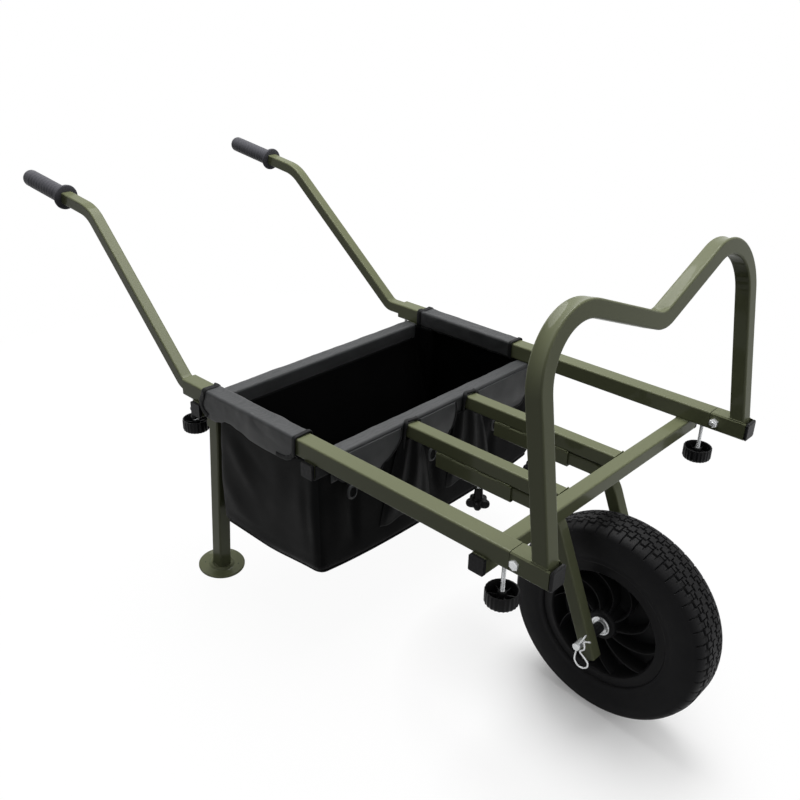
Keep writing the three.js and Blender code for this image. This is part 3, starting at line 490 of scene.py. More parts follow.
def finish(name):
    """The material of that name, made the first time that a piece asks for it."""
    found = bpy.data.materials.get(name)
    if found:
        return found
    fittings, wheel = bpy.context.scene.trolley_fittings, bpy.context.scene.trolley_wheel
    makers = {
        "Olive Paint": make_paint,
        "Bright Zinc": make_zinc,
        "Black Plastic": lambda n: make_moulded(n, fittings.plastic_colour, 0.36, 900.0, 0.0004),
        "Rim Plastic": lambda n: make_moulded(n, wheel.rim_colour, 0.4, 1100.0, 0.0004, 2.0),
        "Tyre Rubber": lambda n: make_moulded(n, wheel.tyre_colour, 0.5, 600.0, 0.0005, 3.0),
        "Grip Rubber": lambda n: make_moulded(n, shade(fittings.grip_colour, 2.6), 0.42, 500.0, 0.0002, 1.6),
        "Charcoal Cloth": make_cloth,
        # The front panel's cloth is the walls' cloth made darker: painted shade on the bag's front
        "Front Panel Cloth": lambda n: make_cloth(n, 0.14, 0.5, gloss=0.02),
        "Black Panel Cloth": lambda n: make_cloth(n, 0.2, 0.42, gloss=0.03),
        "Black Lining": lambda n: make_cloth(n, 0.08, 0.6, gloss=0.02),
        "Black Binding": lambda n: make_cloth(n, 0.3, 0.5, 0.0006, 0.08),
    }
    return makers[name](name)


# Piece settings


def colour_property(label, description, slot_name=None):
    """A colour setting. Its default is its slot's colour in the record, or white where no slot is given."""
    colours = {made["slot"]: made["base_color"] for made in frame["record"]["materials"]}
    default = colours[slot_name] if slot_name else (1.0, 1.0, 1.0)
    return FloatVectorProperty(
        name=label, description=description, default=default, size=3, min=0, max=1, subtype="COLOR"
    )


def size_property(label, description, default, least, unit="LENGTH"):
    return FloatProperty(name=label, description=description, default=default, min=least, unit=unit)


class TrolleyFittings(bpy.types.PropertyGroup):
    """Finishes of the tubes and small fittings."""

    paint_colour: colour_property("Paint", "Colour of the painted tubes", "paint")
    zinc_colour: colour_property("Zinc", "Colour of the plated screws, clip and bearings", "zinc")
    plastic_colour: colour_property("Plastic", "Colour of the knobs and end caps", "plastic")
    grip_colour: colour_property("Grips", "Colour of the handle grips", "grip")
    tube_corner: size_property("Tube Corner", "Corner radius of the square tubes", 0.003, 0.001)


class TrolleyWheel(bpy.types.PropertyGroup):
    """Sizes and finishes of the wheel."""

    tyre_colour: colour_property("Tyre", "Colour of the tyre", "tyre")
    rim_colour: colour_property("Rim", "Colour of the rim", "rim")
    tread_repeats: IntProperty(name="Tread Repeats", description="Tread blocks round the tyre", default=48, min=12)
    tread_depth: size_property("Tread Depth", "Depth of the tread's grooves", 0.003, 0.0005)
    vanes: IntProperty(name="Vanes", description="Swirled vanes on each side of the rim", default=10, min=3)


class TrolleyBag(bpy.types.PropertyGroup):
    """Sizes and finish of the cargo bag."""

    cloth_colour: colour_property("Cloth", "Colour of the bag's cloth", "cloth")
    cloth_thickness: size_property("Cloth Thickness", "Thickness of the coated cloth", 0.0012, 0.0003)
    sag: size_property("Sag", "How far the empty bag's walls wander", 0.004, 0)


class TrolleyStage(bpy.types.PropertyGroup):
    """Floor, lamps and camera."""

    floor_colour: colour_property("Floor", "Colour of the floor")
    key_power: size_property("Key Lamp", "Power of the soft lamp overhead", 88.0, 0, "POWER")
    fill_power: size_property("Fill Lamp", "Power of the soft lamp in front", 9.0, 0, "POWER")
    lens: size_property("Lens", "Focal length for a 36 mm sensor", 40.05, 10, "CAMERA")


# Painted tubes


def tube_corner():
    return bpy.context.scene.trolley_fittings.tube_corner * 1000


def add_tube(name, node, side, wall, corners, radii=(), across=X, body="frame", place=CHASSIS, steps=12, dent=0.0):
    mesh = square_tube(side, wall, tube_corner(), bent_line(corners, radii, steps), across, dent)
    return add_piece(name, mesh, "Olive Paint", body, [node], place)


def weld_bead(corners, radius, seed):
    """A fillet of weld along a line of corners, with the ripple of its stitches."""
    line = []
    for a, b in zip(corners, corners[1:]):
        a, b = Vector(a), Vector(b)
        count = max(int((b - a).length / 1.5), 2)
        line += [a.lerp(b, i / count) for i in range(count)]
    line.append(Vector(corners[-1]))
    sides = 8
    points, faces = wire(line, radius, sides)
    for i, point in enumerate(points):
        centre = line[i // sides]
        wave = 1 + 0.2 * math.sin(i // sides * 1.9 + seed) + 0.1 * noise.noise(centre / 3)
        points[i] = centre + (point - centre) * wave
    return points, faces


class TROLLEY_OT_chassis(bpy.types.Operator):
    """Rails, crossbars, inner rails and fork sockets, with the welds that join them."""

    bl_idname = "trolley.chassis"
    bl_label = "Chassis Tubes"

    def execute(self, context):
        for side, sign in SIDES:
            x, inner = sign * RAIL_X, sign * INNER_X
            add_tube(
                f"rail_tube_{side}", f"side_rail_{side}", RAIL_SIDE, RAIL_WALL,
                [(x, 0, RAIL_SIDE / 2), (x, RAIL_LENGTH, RAIL_SIDE / 2)],
            )
            front, rear = FRONT_CROSS + TUBE_SIDE / 2, BAG_CROSS - TUBE_SIDE / 2
            add_tube(
                f"inner_tube_{side}", f"inner_rail_{side}", TUBE_SIDE, TUBE_WALL,
                [(inner, front + 0.3, CROSS_Z), (inner, rear - 0.3, CROSS_Z)],
            )
            add_tube(
                f"fork_tube_socket_{side}", f"fork_socket_{side}", SOCKET_SIDE, SOCKET_WALL,
                [(inner, 143, SOCKET_Z), (inner, 295, SOCKET_Z)],
            )
        for place, y in (("front", FRONT_CROSS), ("bag", BAG_CROSS), ("rear", REAR_CROSS)):
            add_tube(
                f"cross_tube_{place}", f"{place}_crossbar", TUBE_SIDE, TUBE_WALL,
                [(-CROSS_HALF, y, CROSS_Z), (CROSS_HALF, y, CROSS_Z)], across=Y,
            )
        self.add_welds()
        return {"FINISHED"}

    def add_welds(self):
        beads = []
        for sign in (-1, 1):
            inner, seam = sign * INNER_X, -TUBE_SIDE - 0.6
            for edge in (-1, 1):
                at = inner + edge * TUBE_SIDE / 2
                for start in (146, 208, 262):
                    beads.append(weld_bead([(at, start, seam), (at, start + 26, seam)], 1.3, start))
                beads.append(weld_bead([(at, 59.3, 0), (at, 59.3, -TUBE_SIDE)], 1.4, edge))
            for edge in (-1, 1):
                at = sign * RAIL_X + edge * RAIL_SIDE / 2
                for y in (FRONT_CROSS, REAR_CROSS):
                    beads.append(weld_bead([(at, y - 11, -0.2), (at, y + 11, -0.2)], 1.3, edge + y))
        add_piece("chassis_welds", together(*beads), "Olive Paint", "frame", sharp=60)


class TROLLEY_OT_front_bar(bpy.types.Operator):
    """The bent bar over the chassis, standing in its base tubes."""

    bl_idname = "trolley.front_bar"
    bl_label = "Front Bar"

    def execute(self, context):
        lean = Vector((0, math.sin(BAR_LEAN), math.cos(BAR_LEAN)))
        foot = Vector((0, -BAR_AHEAD, 0))
        drop = RAIL_X * math.tan(BAR_SLOPE)
        plan = [(-RAIL_X, 2.4), (-RAIL_X, BAR_SHOULDER), (0, BAR_SHOULDER - drop)]
        plan += [(-x, up) for x, up in reversed(plan[:2])]
        corners = [foot + X * x + lean * up for x, up in plan]
        add_tube(
            "front_hoop", "front_bar", TUBE_SIDE, TUBE_WALL, corners, (85, 50, 85),
            across=X.cross(lean), body="bar", steps=24, dent=2.6,
        )
        for side, sign in SIDES:
            for node in (f"base_tube_{side}", f"bar_spigot_{side}"):
                dress_node(node, "Olive Paint")
            dress_node(f"base_cap_{side}", "Black Plastic")
            self.add_post_weld(side, sign)
        return {"FINISHED"}

    def add_post_weld(self, side, sign):
        half = TUBE_SIDE / 2
        y = -BAR_AHEAD + RAIL_SIDE * math.tan(BAR_LEAN)
        x = sign * RAIL_X
        ring = [(x + a * half, y + b * half, RAIL_SIDE) for a, b in ((-1, -1), (-1, 1), (1, 1), (1, -1))]
        add_piece(f"post_weld_{side}", weld_bead(ring, 1.3, sign), "Olive Paint", "bar", sharp=60)


class TROLLEY_OT_fork(bpy.types.Operator):
    """Fork legs, axle pin, spring clip and spacers."""

    bl_idname = "trolley.fork"
    bl_label = "Fork"

    def execute(self, context):
        bend = -AXLE_AHEAD + (FORK_TUBE_Z + AXLE_DROP) / math.tan(FORK_ANGLE)
        toe = (-AXLE_AHEAD - FORK_TAIL * math.cos(FORK_ANGLE), -AXLE_DROP - FORK_TAIL * math.sin(FORK_ANGLE))
        for side, sign in SIDES:
            x = sign * INNER_X
            corners = [(x, FORK_REAR, FORK_TUBE_Z), (x, bend, FORK_TUBE_Z), (x, *toe)]
            add_tube(
                f"fork_tube_{side}", f"fork_leg_{side}", SLIM_SIDE, SLIM_WALL, corners, (50,), body="fork", steps=16
            )
            dress_node(f"axle_spacer_{side}", "Black Plastic")
        reach, half = INNER_X + SLIM_SIDE / 2, AXLE_PIN / 2
        pin = [(0, -reach - 20), (half - 1, -reach - 20), (half, -reach - 19), (half, reach + 0.3)]
        pin += [(9, reach + 0.3), (10, reach + 1), (10, reach + 3.4), (9, reach + 4.3), (0, reach + 4.3)]
        mesh = moved(turned(pin), AXLE_IN_CHASSIS @ turned_to(X))
        add_piece("axle", mesh, "Bright Zinc", "fork", ["axle_pin"])
        self.add_clip()
        return {"FINISHED"}

    def add_clip(self):
        ahead_and_up = [
            (8.1, 25.4), (4.1, 11), (0, 0), (-0.9, -11), (-1.5, -22), (0.2, -31), (7.5, -37), (16.5, -35.5),
            (22, -29.5), (21.5, -22), (14.5, -16), (5, -9.8), (10.6, -1.5), (9.6, 6.5), (8, 11.5), (11, 14.5),
            (18, 18.5),
        ]
        x = (-INNER_X - SLIM_SIDE / 2 - 12) / 1000
        hang = Matrix.Translation(AXLE_PLACE + X * x) @ Matrix.Scale(0.001, 4)
        line = smooth_line([(0, -ahead, up) for ahead, up in ahead_and_up], 8)
        add_piece("clip_wire", wire(line, 1.4, 12), "Bright Zinc", "fork", ["axle_clip"], hang, 60)


def dress_node(node, finish_name):
    """Gives a CAD node a finish of its own."""
    data = frame["nodes"][node].data
    data.materials.clear()
    data.materials.append(finish(finish_name))


class TROLLEY_OT_handles(bpy.types.Operator):
    """The two push handles with their grips."""

    bl_idname = "trolley.handles"
    bl_label = "Push Handles"

    def execute(self, context):
        turn = math.atan2(HANDLE_RISE, HANDLE_RUN)
        mouth = RAIL_LENGTH + 26 * math.tan(turn / 2)
        run = math.sqrt(HANDLE_END**2 - HANDLE_END_RISE**2)
        z = SLIM_IN_RAIL_Z
        for side, sign, draw in (("left", -1, 0), ("right", 1, 26)):
            x = sign * RAIL_X
            corners = [
                Vector((x, draw + RAIL_LENGTH - HANDLE_INSERT, z)),
                Vector((x, draw + mouth, z)),
                Vector((x - sign * 15, draw + mouth + HANDLE_RUN, z + HANDLE_RISE)),
                Vector((x - sign * 10, draw + mouth + HANDLE_RUN + run, z + HANDLE_RISE + HANDLE_END_RISE)),
            ]
            add_tube(
                f"push_tube_{side}", f"handle_{side}", SLIM_SIDE, SLIM_WALL, corners, (26, 75),
                body=f"handle_body_{side}", steps=18,
            )
            self.add_grip(side, corners)
        return {"FINISHED"}

    def add_grip(self, side, corners):
        heading = (corners[3] - corners[2]).normalized()
        start = corners[3] + heading * (6.3 - GRIP_LENGTH)
        place = Matrix.Translation(start) @ turned_to(heading)
        flange, radius = GRIP_FLANGE, GRIP_RADIUS
        profile = [(0, 0.2), (12, 0.2), (flange - 2.5, 0), (flange - 0.6, 0.9), (flange, 3.2)]
        profile += [(flange - 0.6, 5.8), (flange - 3, 7.2), (radius + 1.5, 8.4), (radius, 11)]
        ribs, first, last = 11, 14, GRIP_LENGTH - 24
        pitch = (last - first) / ribs
        dips = ((0.0, 0.7), (0.12, 0.7), (0.25, 0.1), (0.4, 0), (0.82, 0), (0.95, 0.12))
        for i in range(ribs):
            at = first + i * pitch
            profile += [(radius - dip, at + share * pitch) for share, dip in dips]
        dome, turns = 13, [i * math.pi / 16 for i in range(8)]
        profile += [(radius * math.cos(a), GRIP_LENGTH - dome + dome * math.sin(a)) for a in turns]
        mesh = moved(turned([*profile, (0, GRIP_LENGTH)], 64), place)
        add_piece(f"hand_grip_{side}", mesh, "Grip Rubber", f"handle_body_{side}", [f"grip_{side}"])


class TROLLEY_OT_legs(bpy.types.Operator):
    """Legs, the sockets that hold them and the round foot plates."""

    bl_idname = "trolley.legs"
    bl_label = "Legs"

    def execute(self, context):
        for side, sign in SIDES:
            place, body = upright(sign * RAIL_X), f"leg_body_{side}"
            add_tube(
                f"leg_tube_{side}", f"leg_{side}", TUBE_SIDE, TUBE_WALL,
                [(0, 0, 2.8 - LEG_HEIGHT), (0, 0, -LEG_GAP)], body=body, place=place,
            )
            add_tube(
                f"leg_holder_{side}", f"leg_socket_{side}", HOLDER_SIDE, HOLDER_WALL,
                [(0, 0, -38), (0, 0, -1.4)], place=place,
            )
            self.add_foot(side, place, body)
        return {"FINISHED"}

    def add_foot(self, side, place, body):
        rim = FOOT_RADIUS
        profile = [
            (0, 0), (rim - 1, 0), (rim, 1), (rim, 3), (rim - 1, 4), (rim - 3, 4), (rim - 7, 2.9), (26, 2.4),
            (23.5, 3), (22, 5.4), (20.5, 6.8), (18.5, 7), (17, 6), (16.5, 3), (0, 3),
        ]
        plate = moved(turned(profile, 72), Matrix.Translation((0, 0, -LEG_HEIGHT)))
        half, base = TUBE_SIDE / 2, 3.4 - LEG_HEIGHT
        ring = [(a * half, b * half, base) for a, b in ((-1, -1), (1, -1), (1, 1), (-1, 1), (-1, -1))]
        mesh = together(plate, weld_bead(ring, 2.0, 3))
        add_piece(f"foot_plate_{side}", mesh, "Olive Paint", body, [f"foot_{side}"], place, 30)
        # Each hole is a thin black disc on the plate, not a cut: painted shade in place of the hole
        out, hole = 32.5, turned([(0, 0), (2.5, 0), (2.5, 0.12), (0, 0.12)], 24)
        for quarter in (1, 3):
            angle = quarter * math.pi / 2 + math.pi / 4
            spot = Vector((out * math.cos(angle), out * math.sin(angle), -LEG_HEIGHT + 2.55))
            mesh = moved(hole, Matrix.Translation(spot))
            add_piece(f"foot_hole_shade_{side}_{quarter}", mesh, "Black Plastic", body, (), place)


# Screws and knobs

CUP_RADIUS, CUP_HEIGHT, FORK_STAR_AT, FORK_STAR_LOW = 24, 22, 214, -97.6


def thread(radius, length):
    """A plain stud with the rings of a fine thread, and a chamfer at its top."""
    pitch = 1.1
    profile = [(0, 0), (radius, 0)]
    for i in range(int(length / pitch) - 1):
        profile += [(radius, (i + 0.25) * pitch), (radius - 0.45, (i + 0.6) * pitch), (radius, (i + 0.95) * pitch)]
    return [*profile, (radius, length - 1), (radius - 0.8, length), (0, length)]


def star_head(radius, thickness, neck_length, neck_top):
    """Five rounded lobes with soft edges, and the neck that rises from them."""
    depth, neck_foot = radius * 0.36, 8
    rounding = [(0, 0.0), (0.62, 0.0), (0.84, 0.06), (0.95, 0.2), (1, 0.4)]
    rounding += [(1, 0.62), (0.95, 0.82), (0.84, 0.95), (0.6, 1)]
    profile = [(radius * share, thickness * up, depth * share) for share, up in rounding]
    profile += [(neck_foot + 2, thickness), (neck_foot, thickness + 1.5), (neck_top, thickness + neck_length)]
    return turned([*profile, (0, thickness + neck_length)], 120, 5, 1.25)


def cup_head():
    """A shallow fluted cup, open on top, with a finned hub round its stud."""
    radius, height, wall, flute, fin_count = CUP_RADIUS, CUP_HEIGHT, 2.6, 0.9, 6
    profile = [
        (0, 0), (radius - 5, 0), (radius - 2, 0.7, flute), (radius - 0.5, 2.4, flute), (radius, 5, flute),
        (radius, height - 1.6, flute), (radius - 0.5, height - 0.3, flute / 2), (radius - 1.2, height),
        (radius - wall, height - 0.4), (radius - wall - 0.4, height - 1.4), (radius - wall - 1.2, 3.4),
        (radius - wall - 3, 2.6), (9.5, 2.6), (8, 4), (6.4, height - 4), (5.4, height - 2.6), (0, height - 2.6),
    ]
    fin = box((6, -0.8, 2), (radius - wall - 0.6, 0.8, height - 9))
    fins = [moved(fin, Matrix.Rotation(i * math.tau / fin_count, 4, "Z")) for i in range(fin_count)]
    return together(turned(profile, 144, 24, 0.7), *fins)


class TROLLEY_OT_knobs(bpy.types.Operator):
    """Star and cup knobs with their zinc studs, the bolts of the front bar, and the end caps."""

    bl_idname = "trolley.knobs"
    bl_label = "Knobs and Screws"

    def execute(self, context):
        for side, sign in SIDES:
            rail, inner = sign * RAIL_X, sign * INNER_X
            body, place = f"fork_clamp_{side}", Matrix.Translation((inner, FORK_STAR_AT, FORK_STAR_LOW))
            star = moved(star_head(20, 14, 20, 6.4), place)
            add_piece(f"fork_star_{side}", star, "Black Plastic", body, [f"fork_knob_{side}"])
            self.add_stud(f"fork_screw_stud_{side}", f"fork_stud_{side}", body, 4)
            self.add_leg_star(side, rail)
            for use, y, drop in (("bar", 16, 46), ("handle", RAIL_LENGTH - 10, 48)):
                cup = moved(cup_head(), Matrix.Translation((rail, y, -drop - CUP_HEIGHT)))
                body = f"{use}_clamp_{side}"
                add_piece(f"{use}_cup_{side}", cup, "Black Plastic", body, [f"{use}_knob_{side}"])
                self.add_stud(f"{use}_screw_stud_{side}", f"{use}_stud_{side}", body, 3)
            self.add_bolt(side, sign)
            for place in ("front", "bag", "rear"):
                dress_node(f"{place}_cap_{side}", "Black Plastic")
        return {"FINISHED"}

    def add_stud(self, name, node, body, radius):
        """A threaded stud up the chassis's own vertical, as long as its CAD node."""
        back = CHASSIS.inverted()
        ends = [back @ v.co for v in frame["nodes"][node].data.vertices]
        low, high = min(p.z for p in ends), max(p.z for p in ends)
        x = sum(p.x for p in ends) / len(ends)
        y = (min(p.y for p in ends) + max(p.y for p in ends)) / 2
        stud = moved(turned(thread(radius, high - low), 24), Matrix.Translation((x, y, low)))
        add_piece(name, stud, "Bright Zinc", body, [node])

    def add_leg_star(self, side, x):
        front = REAR_CROSS + TUBE_SIDE / 2 + 2.6
        body, up, thickness = f"leg_clamp_{side}", -29, 12
        place = Matrix.Translation((x, front + thickness, up)) @ turned_to(-Y)
        star = moved(star_head(18.5, thickness, 2, 7), place)
        add_piece(f"leg_star_{side}", star, "Black Plastic", body, [f"leg_knob_{side}"])
        reach = front - LEG_AT - TUBE_SIDE / 2 - 3.2
        stud = moved(turned(thread(3, reach), 24), Matrix.Translation((x, front, up)) @ turned_to(-Y))
        add_piece(f"leg_screw_stud_{side}", stud, "Bright Zinc", body)

    def add_bolt(self, side, sign):
        half, across = RAIL_SIDE / 2 + 0.3, 13 / math.cos(math.pi / 6) / 2
        head = [(0, half + 5), (across - 2, half + 5), (across, half + 4), (across, half), (0, half)]
        nut = [(4, half + 7), (across - 1.6, half + 7), (across, half + 6), (across, half), (4, half)]
        shank = turned([(0, -half), (4, -half), (4, half + 8), (3.4, half + 8.8), (0, half + 8.8)], 24)
        place = Matrix.Translation((sign * RAIL_X, -10, RAIL_SIDE / 2)) @ turned_to(X * sign)
        far = moved(together(turned([*nut, nut[0]], 6), shank), HALF_TURN)
        mesh = moved(together(turned(head, 6), far), place)
        add_piece(f"hex_bolt_{side}", mesh, "Bright Zinc", "bar", [f"bar_bolt_{side}"], sharp=25)


# Wheel


def tread_height(turn, across):
    """Share of the tread's depth cut away, at a turn in tread repeats and a place across from -1 to 1."""
    side, out = (1 if across > 0 else -1), abs(across)
    turn = turn + (0.5 if side < 0 else 0)
    share = turn % 1
    step = 1 if share < 0.5 else -1
    quarter = 1 if (turn + 0.25) % 1 < 0.5 else -1
    cut = 0.0
    if abs(out - 0.5 - 0.055 * step) < 0.032 or abs(out - 0.2 - 0.05 * quarter) < 0.026:
        cut = 1.0
    if 0.5 < out < 0.97:
        curve = (share + 0.1 * (out - 0.5)) % 1
        cut = max(cut, 0.9 if abs(curve - 0.04) < 0.05 else 0)
        cut = max(cut, 0.6 if abs(curve - 0.54) < 0.04 and out < 0.74 else 0)
    if 0.18 < out < 0.55 and min(abs(share - 0.5), share, 1 - share) < 0.06:
        cut = 1.0
    if out < 0.2 and abs(share - 0.25) < 0.05:
        cut = 1.0
    return cut


class TROLLEY_OT_tyre(bpy.types.Operator):
    """The tyre, with its block tread, shoulder cuts and smooth walls."""

    bl_idname = "trolley.tyre"
    bl_label = "Tyre"

    def execute(self, context):
        settings = context.scene.trolley_wheel
        repeats, depth = settings.tread_repeats, settings.tread_depth * 1000
        bead = FLANGE_RADIUS - 4
        # A section is [share of the half width, radius], from the bead to the tread's middle and back
        tread_share, tread_foot, per_block = 0.965, 155, 16
        wall = [(0.775, bead), (0.79, bead + 3), (0.92, FLANGE_RADIUS + 1.2), (0.95, FLANGE_RADIUS + 4)]
        wall += [(0.955, FLANGE_RADIUS + 9), (0.985, 125), (1.0, 136), (0.995, 146), (tread_share, tread_foot)]
        half = [(p.x, p.y) for p in smooth_line([(a, r, 0) for a, r in wall], 4)]
        crown = WHEEL_RADIUS - tread_foot
        for i in range(1, 11):
            a = i / 15 * 1.5
            half.append((tread_share * math.cos(a) ** 0.62, tread_foot + crown * math.sin(a) ** 0.9))
        edge, top = half[-1]
        half += [(edge * (1 - i / 20), top + (WHEEL_RADIUS - top) * soft_step(0, 7, i)) for i in range(1, 20)]
        section = half + [(0, WHEEL_RADIUS)] + [(-a, r) for a, r in reversed(half)]
        columns = repeats * per_block
        points = []
        for column in range(columns):
            angle = math.tau * column / columns
            turn = (column + 0.01) / per_block
            for across, radius in section:
                worn = tread_height(turn, across / tread_share) if radius > tread_foot - 1 else 0
                fade = soft_step(152, 163, radius)
                reach = radius - depth * worn * fade
                points.append(Vector((across * TYRE_HALF, reach * math.cos(angle), reach * math.sin(angle))))
        faces = rings_to_faces(columns, len(section), closed_around=False, closed_along=True)
        count = len(section)
        for column in range(columns):
            here, after = column * count, (column + 1) % columns * count
            faces.append((here + count - 1, here, after, after + count - 1))
        mesh = moved((points, faces), AXLE_IN_CHASSIS)
        add_piece("wheel_tyre", mesh, "Tyre Rubber", "wheel", ["tyre"], sharp=32)
        return {"FINISHED"}


class TROLLEY_OT_rim(bpy.types.Operator):
    """The moulded rim with its swirled vanes, and the bearings in its hub."""

    bl_idname = "trolley.rim"
    bl_label = "Rim"

    def execute(self, context):
        place = AXLE_IN_CHASSIS @ turned_to(X)
        vanes = context.scene.trolley_wheel.vanes
        flange, half, seat = FLANGE_RADIUS, RIM_HALF, 100.2
        side = [
            (8, 38), (22, 38), (24, 36), (25, 30), (27, 12), (30, 6), (40, 4), (80, 4), (86, 6), (89, 14), (91, 30),
            (92, half - 1), (93, half), (96, half), (97.5, half - 0.8), (106, half - 1.2),
            (flange - 0.6, half - 1.2), (flange, half - 2), (flange, half - 3.6), (flange - 1, half - 4.2),
            (seat + 2, half - 4.6), (seat, half - 6),
        ]
        profile = side + [(radius, -height) for radius, height in reversed(side)]
        profile.append(profile[0])
        turns = [Matrix.Rotation(math.tau * i / vanes, 4, "Z") for i in range(vanes)]
        spokes = together(*(moved(self.vane(), turn) for turn in turns))
        far = moved(spokes, HALF_TURN @ Matrix.Rotation(0.3, 4, "Z"))
        mesh = together(turned(profile, 144), spokes, far)
        add_piece("wheel_rim", moved(mesh, place), "Rim Plastic", "wheel", ["rim"])
        race = [
            (6.3, 2.4), (8, 2.5), (8.6, 2.2), (9, 1.2), (11.6, 1.0), (12, 2.0), (12.6, 2.5), (15, 2.5),
            (16, 1.8), (16, -9), (6.3, -9),
        ]
        for end, sign in SIDES:
            bearing = moved(turned([*race, race[0]], 64), Matrix.Translation((0, 0, 38)))
            bearing = moved(bearing, place @ (Matrix.Identity(4) if sign > 0 else HALF_TURN))
            add_piece(f"wheel_bearing_{end}", bearing, "Bright Zinc", "wheel", [f"bearing_{end}"])
        return {"FINISHED"}

    def vane(self):
        """One vane: it leaves the hub edge on, sweeps round, and widens into the barrel as a scoop."""
        steps, hub, barrel, points = 16, 22, 91.5, []
        for i in range(steps + 1):
            share = i / steps
            radius = hub + (barrel - hub) * share
            angle = 0.62 * share**1.6
            top = 33 - 5 * math.sin(math.pi * share) - 2 * share
            slant = 7 * share * share
            for out, height in ((-1.6, 3), (-1.5, top - 1), (-0.9, top), (0.9, top), (1.5, top - 1), (1.6, 3)):
                tip = out + slant * (1 - height / top)
                x = radius * math.cos(angle) - tip * math.sin(angle)
                y = radius * math.sin(angle) + tip * math.cos(angle)
                points.append(Vector((x, y, height)))
        return points, rings_to_faces(steps + 1, 6)


# Cargo bag

BAG_MIDDLE = Vector((0, 490))
BAG_HALF, REAR_HALF, APRON_HALF = 286.5, 257.5, 256.5
QUARTER_ARC = [i / 6 * math.pi / 2 for i in range(7)]


def thicken(piece):
    """Gives a sheet the cloth's thickness, half of it to each side."""
    thick = piece.modifiers.new("Cloth Thickness", "SOLIDIFY")
    thick.thickness = bpy.context.scene.trolley_bag.cloth_thickness
    thick.offset = 0
    return thick


def cloth_piece(name, columns, rows, place_of, finish_name):
    """A sheet of cloth from a function of two shares, given its thickness."""
    points = [Vector(place_of(i / columns, j / rows)) for j in range(rows + 1) for i in range(columns + 1)]
    faces = rings_to_faces(rows + 1, columns + 1, closed_around=False)
    thicken(add_piece(name, (points, faces), finish_name, "frame", sharp=75))


def bind_edge(name, mesh, sharp=70):
    add_piece(name, mesh, "Black Binding", "frame", sharp=sharp)


def along_path(path, share):
    """A place on a line of points, by its share of the whole length."""
    lengths = [(b - a).length for a, b in zip(path, path[1:])]
    left = share * sum(lengths)
    for start, end, length in zip(path, path[1:], lengths):
        if left <= length + 1e-9:
            return start.lerp(end, left / length if length else 0)
        left -= length
    return path[-1]


def along_outline(outline, share):
    return along_path([*outline, outline[0]], share % 1)


def bag_outline(up):
    """The bag's walls at one height, as a closed outline of [across, back] places, clockwise from above."""
    half, corner = BAG_HALF, 15
    lift = soft_step(BAG_FLOOR, 0, up)
    front, rear = 365.5 + 3 * lift, BAG_REAR + 9 - 10 * lift
    apron = rear + 45 * lift
    corners = [(-half, front, corner), (-half, rear, 12), (-REAR_HALF, rear, 5), (-APRON_HALF, apron, 5)]
    corners += [(APRON_HALF, apron, 5), (REAR_HALF, rear, 5), (half, rear, 12), (half, front, corner)]
    outline = []
    count = len(corners)
    for i, (x, y, radius) in enumerate(corners):
        here = Vector((x, y))
        before, after = Vector(corners[i - 1][:2]), Vector(corners[(i + 1) % count][:2])
        reach_in = min(radius, (before - here).length * 0.45)
        reach_out = min(radius, (after - here).length * 0.45)
        start = here + (before - here).normalized() * reach_in
        end = here + (after - here).normalized() * reach_out
        for step in range(7):
            t = step / 6
            outline.append(start * (1 - t) ** 2 + here * 2 * t * (1 - t) + end * t**2)
    return outline


def floor_height(x, y):
    """The bag's floor sags between its corners, which its walls hold up."""
    middle = 1 - (abs(x) / 290) ** 3
    along = soft_step(360, 520, y)
    return -204 - 14 * middle * (1 - along) - (14 + 6 * middle) * along


def fold(place, start, end, width, height):
    """A soft ridge of cloth from start to end, in the two coordinates given."""
    a, b, p = Vector(start), Vector(end), Vector(place)
    run = b - a
    share = min(max((p - a).dot(run) / run.length_squared, 0), 1)
    away = (p - a - run * share).length
    return height * math.exp(-((away / width) ** 2)) * math.sin(math.pi * min(max(share, 0.04), 0.96)) ** 0.5


SIDE_FOLDS = [
    ((600, -20), (520, -120), 16, 3), ((610, -120), (560, -205), 20, 4), ((420, -30), (450, -150), 22, -3),
    ((395, -30), (388, -180), 9, -2.5), ((560, -30), (500, -70), 12, -2), ((480, -190), (600, -200), 14, 3),
]
FRONT_FOLDS = [
    ((-24, -88), (2, -175), 11, -9), ((-76, -60), (-78, -190), 24, 5), ((-52, -70), (-60, -160), 9, -6),
    ((150, -95), (148, -190), 11, -8), ((77, -60), (80, -190), 24, 5), ((104, -70), (100, -160), 9, -6),
    ((-214, -75), (-206, -180), 9, -6), ((-250, -40), (-240, -190), 16, 3), ((230, -60), (240, -180), 14, -4),
]


def bag_wall(share, down):
    """A place on the bag's walls: share runs round them, and down from their top to the floor's edge."""
    flat = along_outline(bag_outline(-100), share)
    floor = floor_height(flat.x, flat.y)
    cross_wall = soft_step(240, 247, abs(flat.x))
    top = -26 + 25 * cross_wall
    up = top + (floor - top) * down
    spot = along_outline(bag_outline(up), share)
    out = spot - BAG_MIDDLE
    side_face = soft_step(278, 285, abs(spot.x))
    front_face = soft_step(372, 367, spot.y)
    fade = math.sin(math.pi * min(down * 1.15, 1)) ** 0.6
    push = bpy.context.scene.trolley_bag.sag * 1000 * ripple((spot.x, spot.y, up * 0.7), 95, 3) * fade
    if side_face > 0:
        push += side_face * fade * (sum(fold((spot.y, up), *f) for f in SIDE_FOLDS) + 3)
    if front_face > 0:
        push += front_face * fade * sum(fold((spot.x, up), *f) for f in FRONT_FOLDS)
    outward = Vector((math.copysign(1, spot.x), 0))
    if side_face < 0.5:
        outward = Vector((math.copysign(side_face, spot.x), 1 if out.y > 0 else -1))
    spot = spot + outward.normalized() * push * 0.8
    tuck = 12 * max(down - 0.95, 0) / 0.05
    spot = spot - Vector((out.x / 290, out.y / 125)) * tuck * 0.35
    return spot.x, spot.y, up


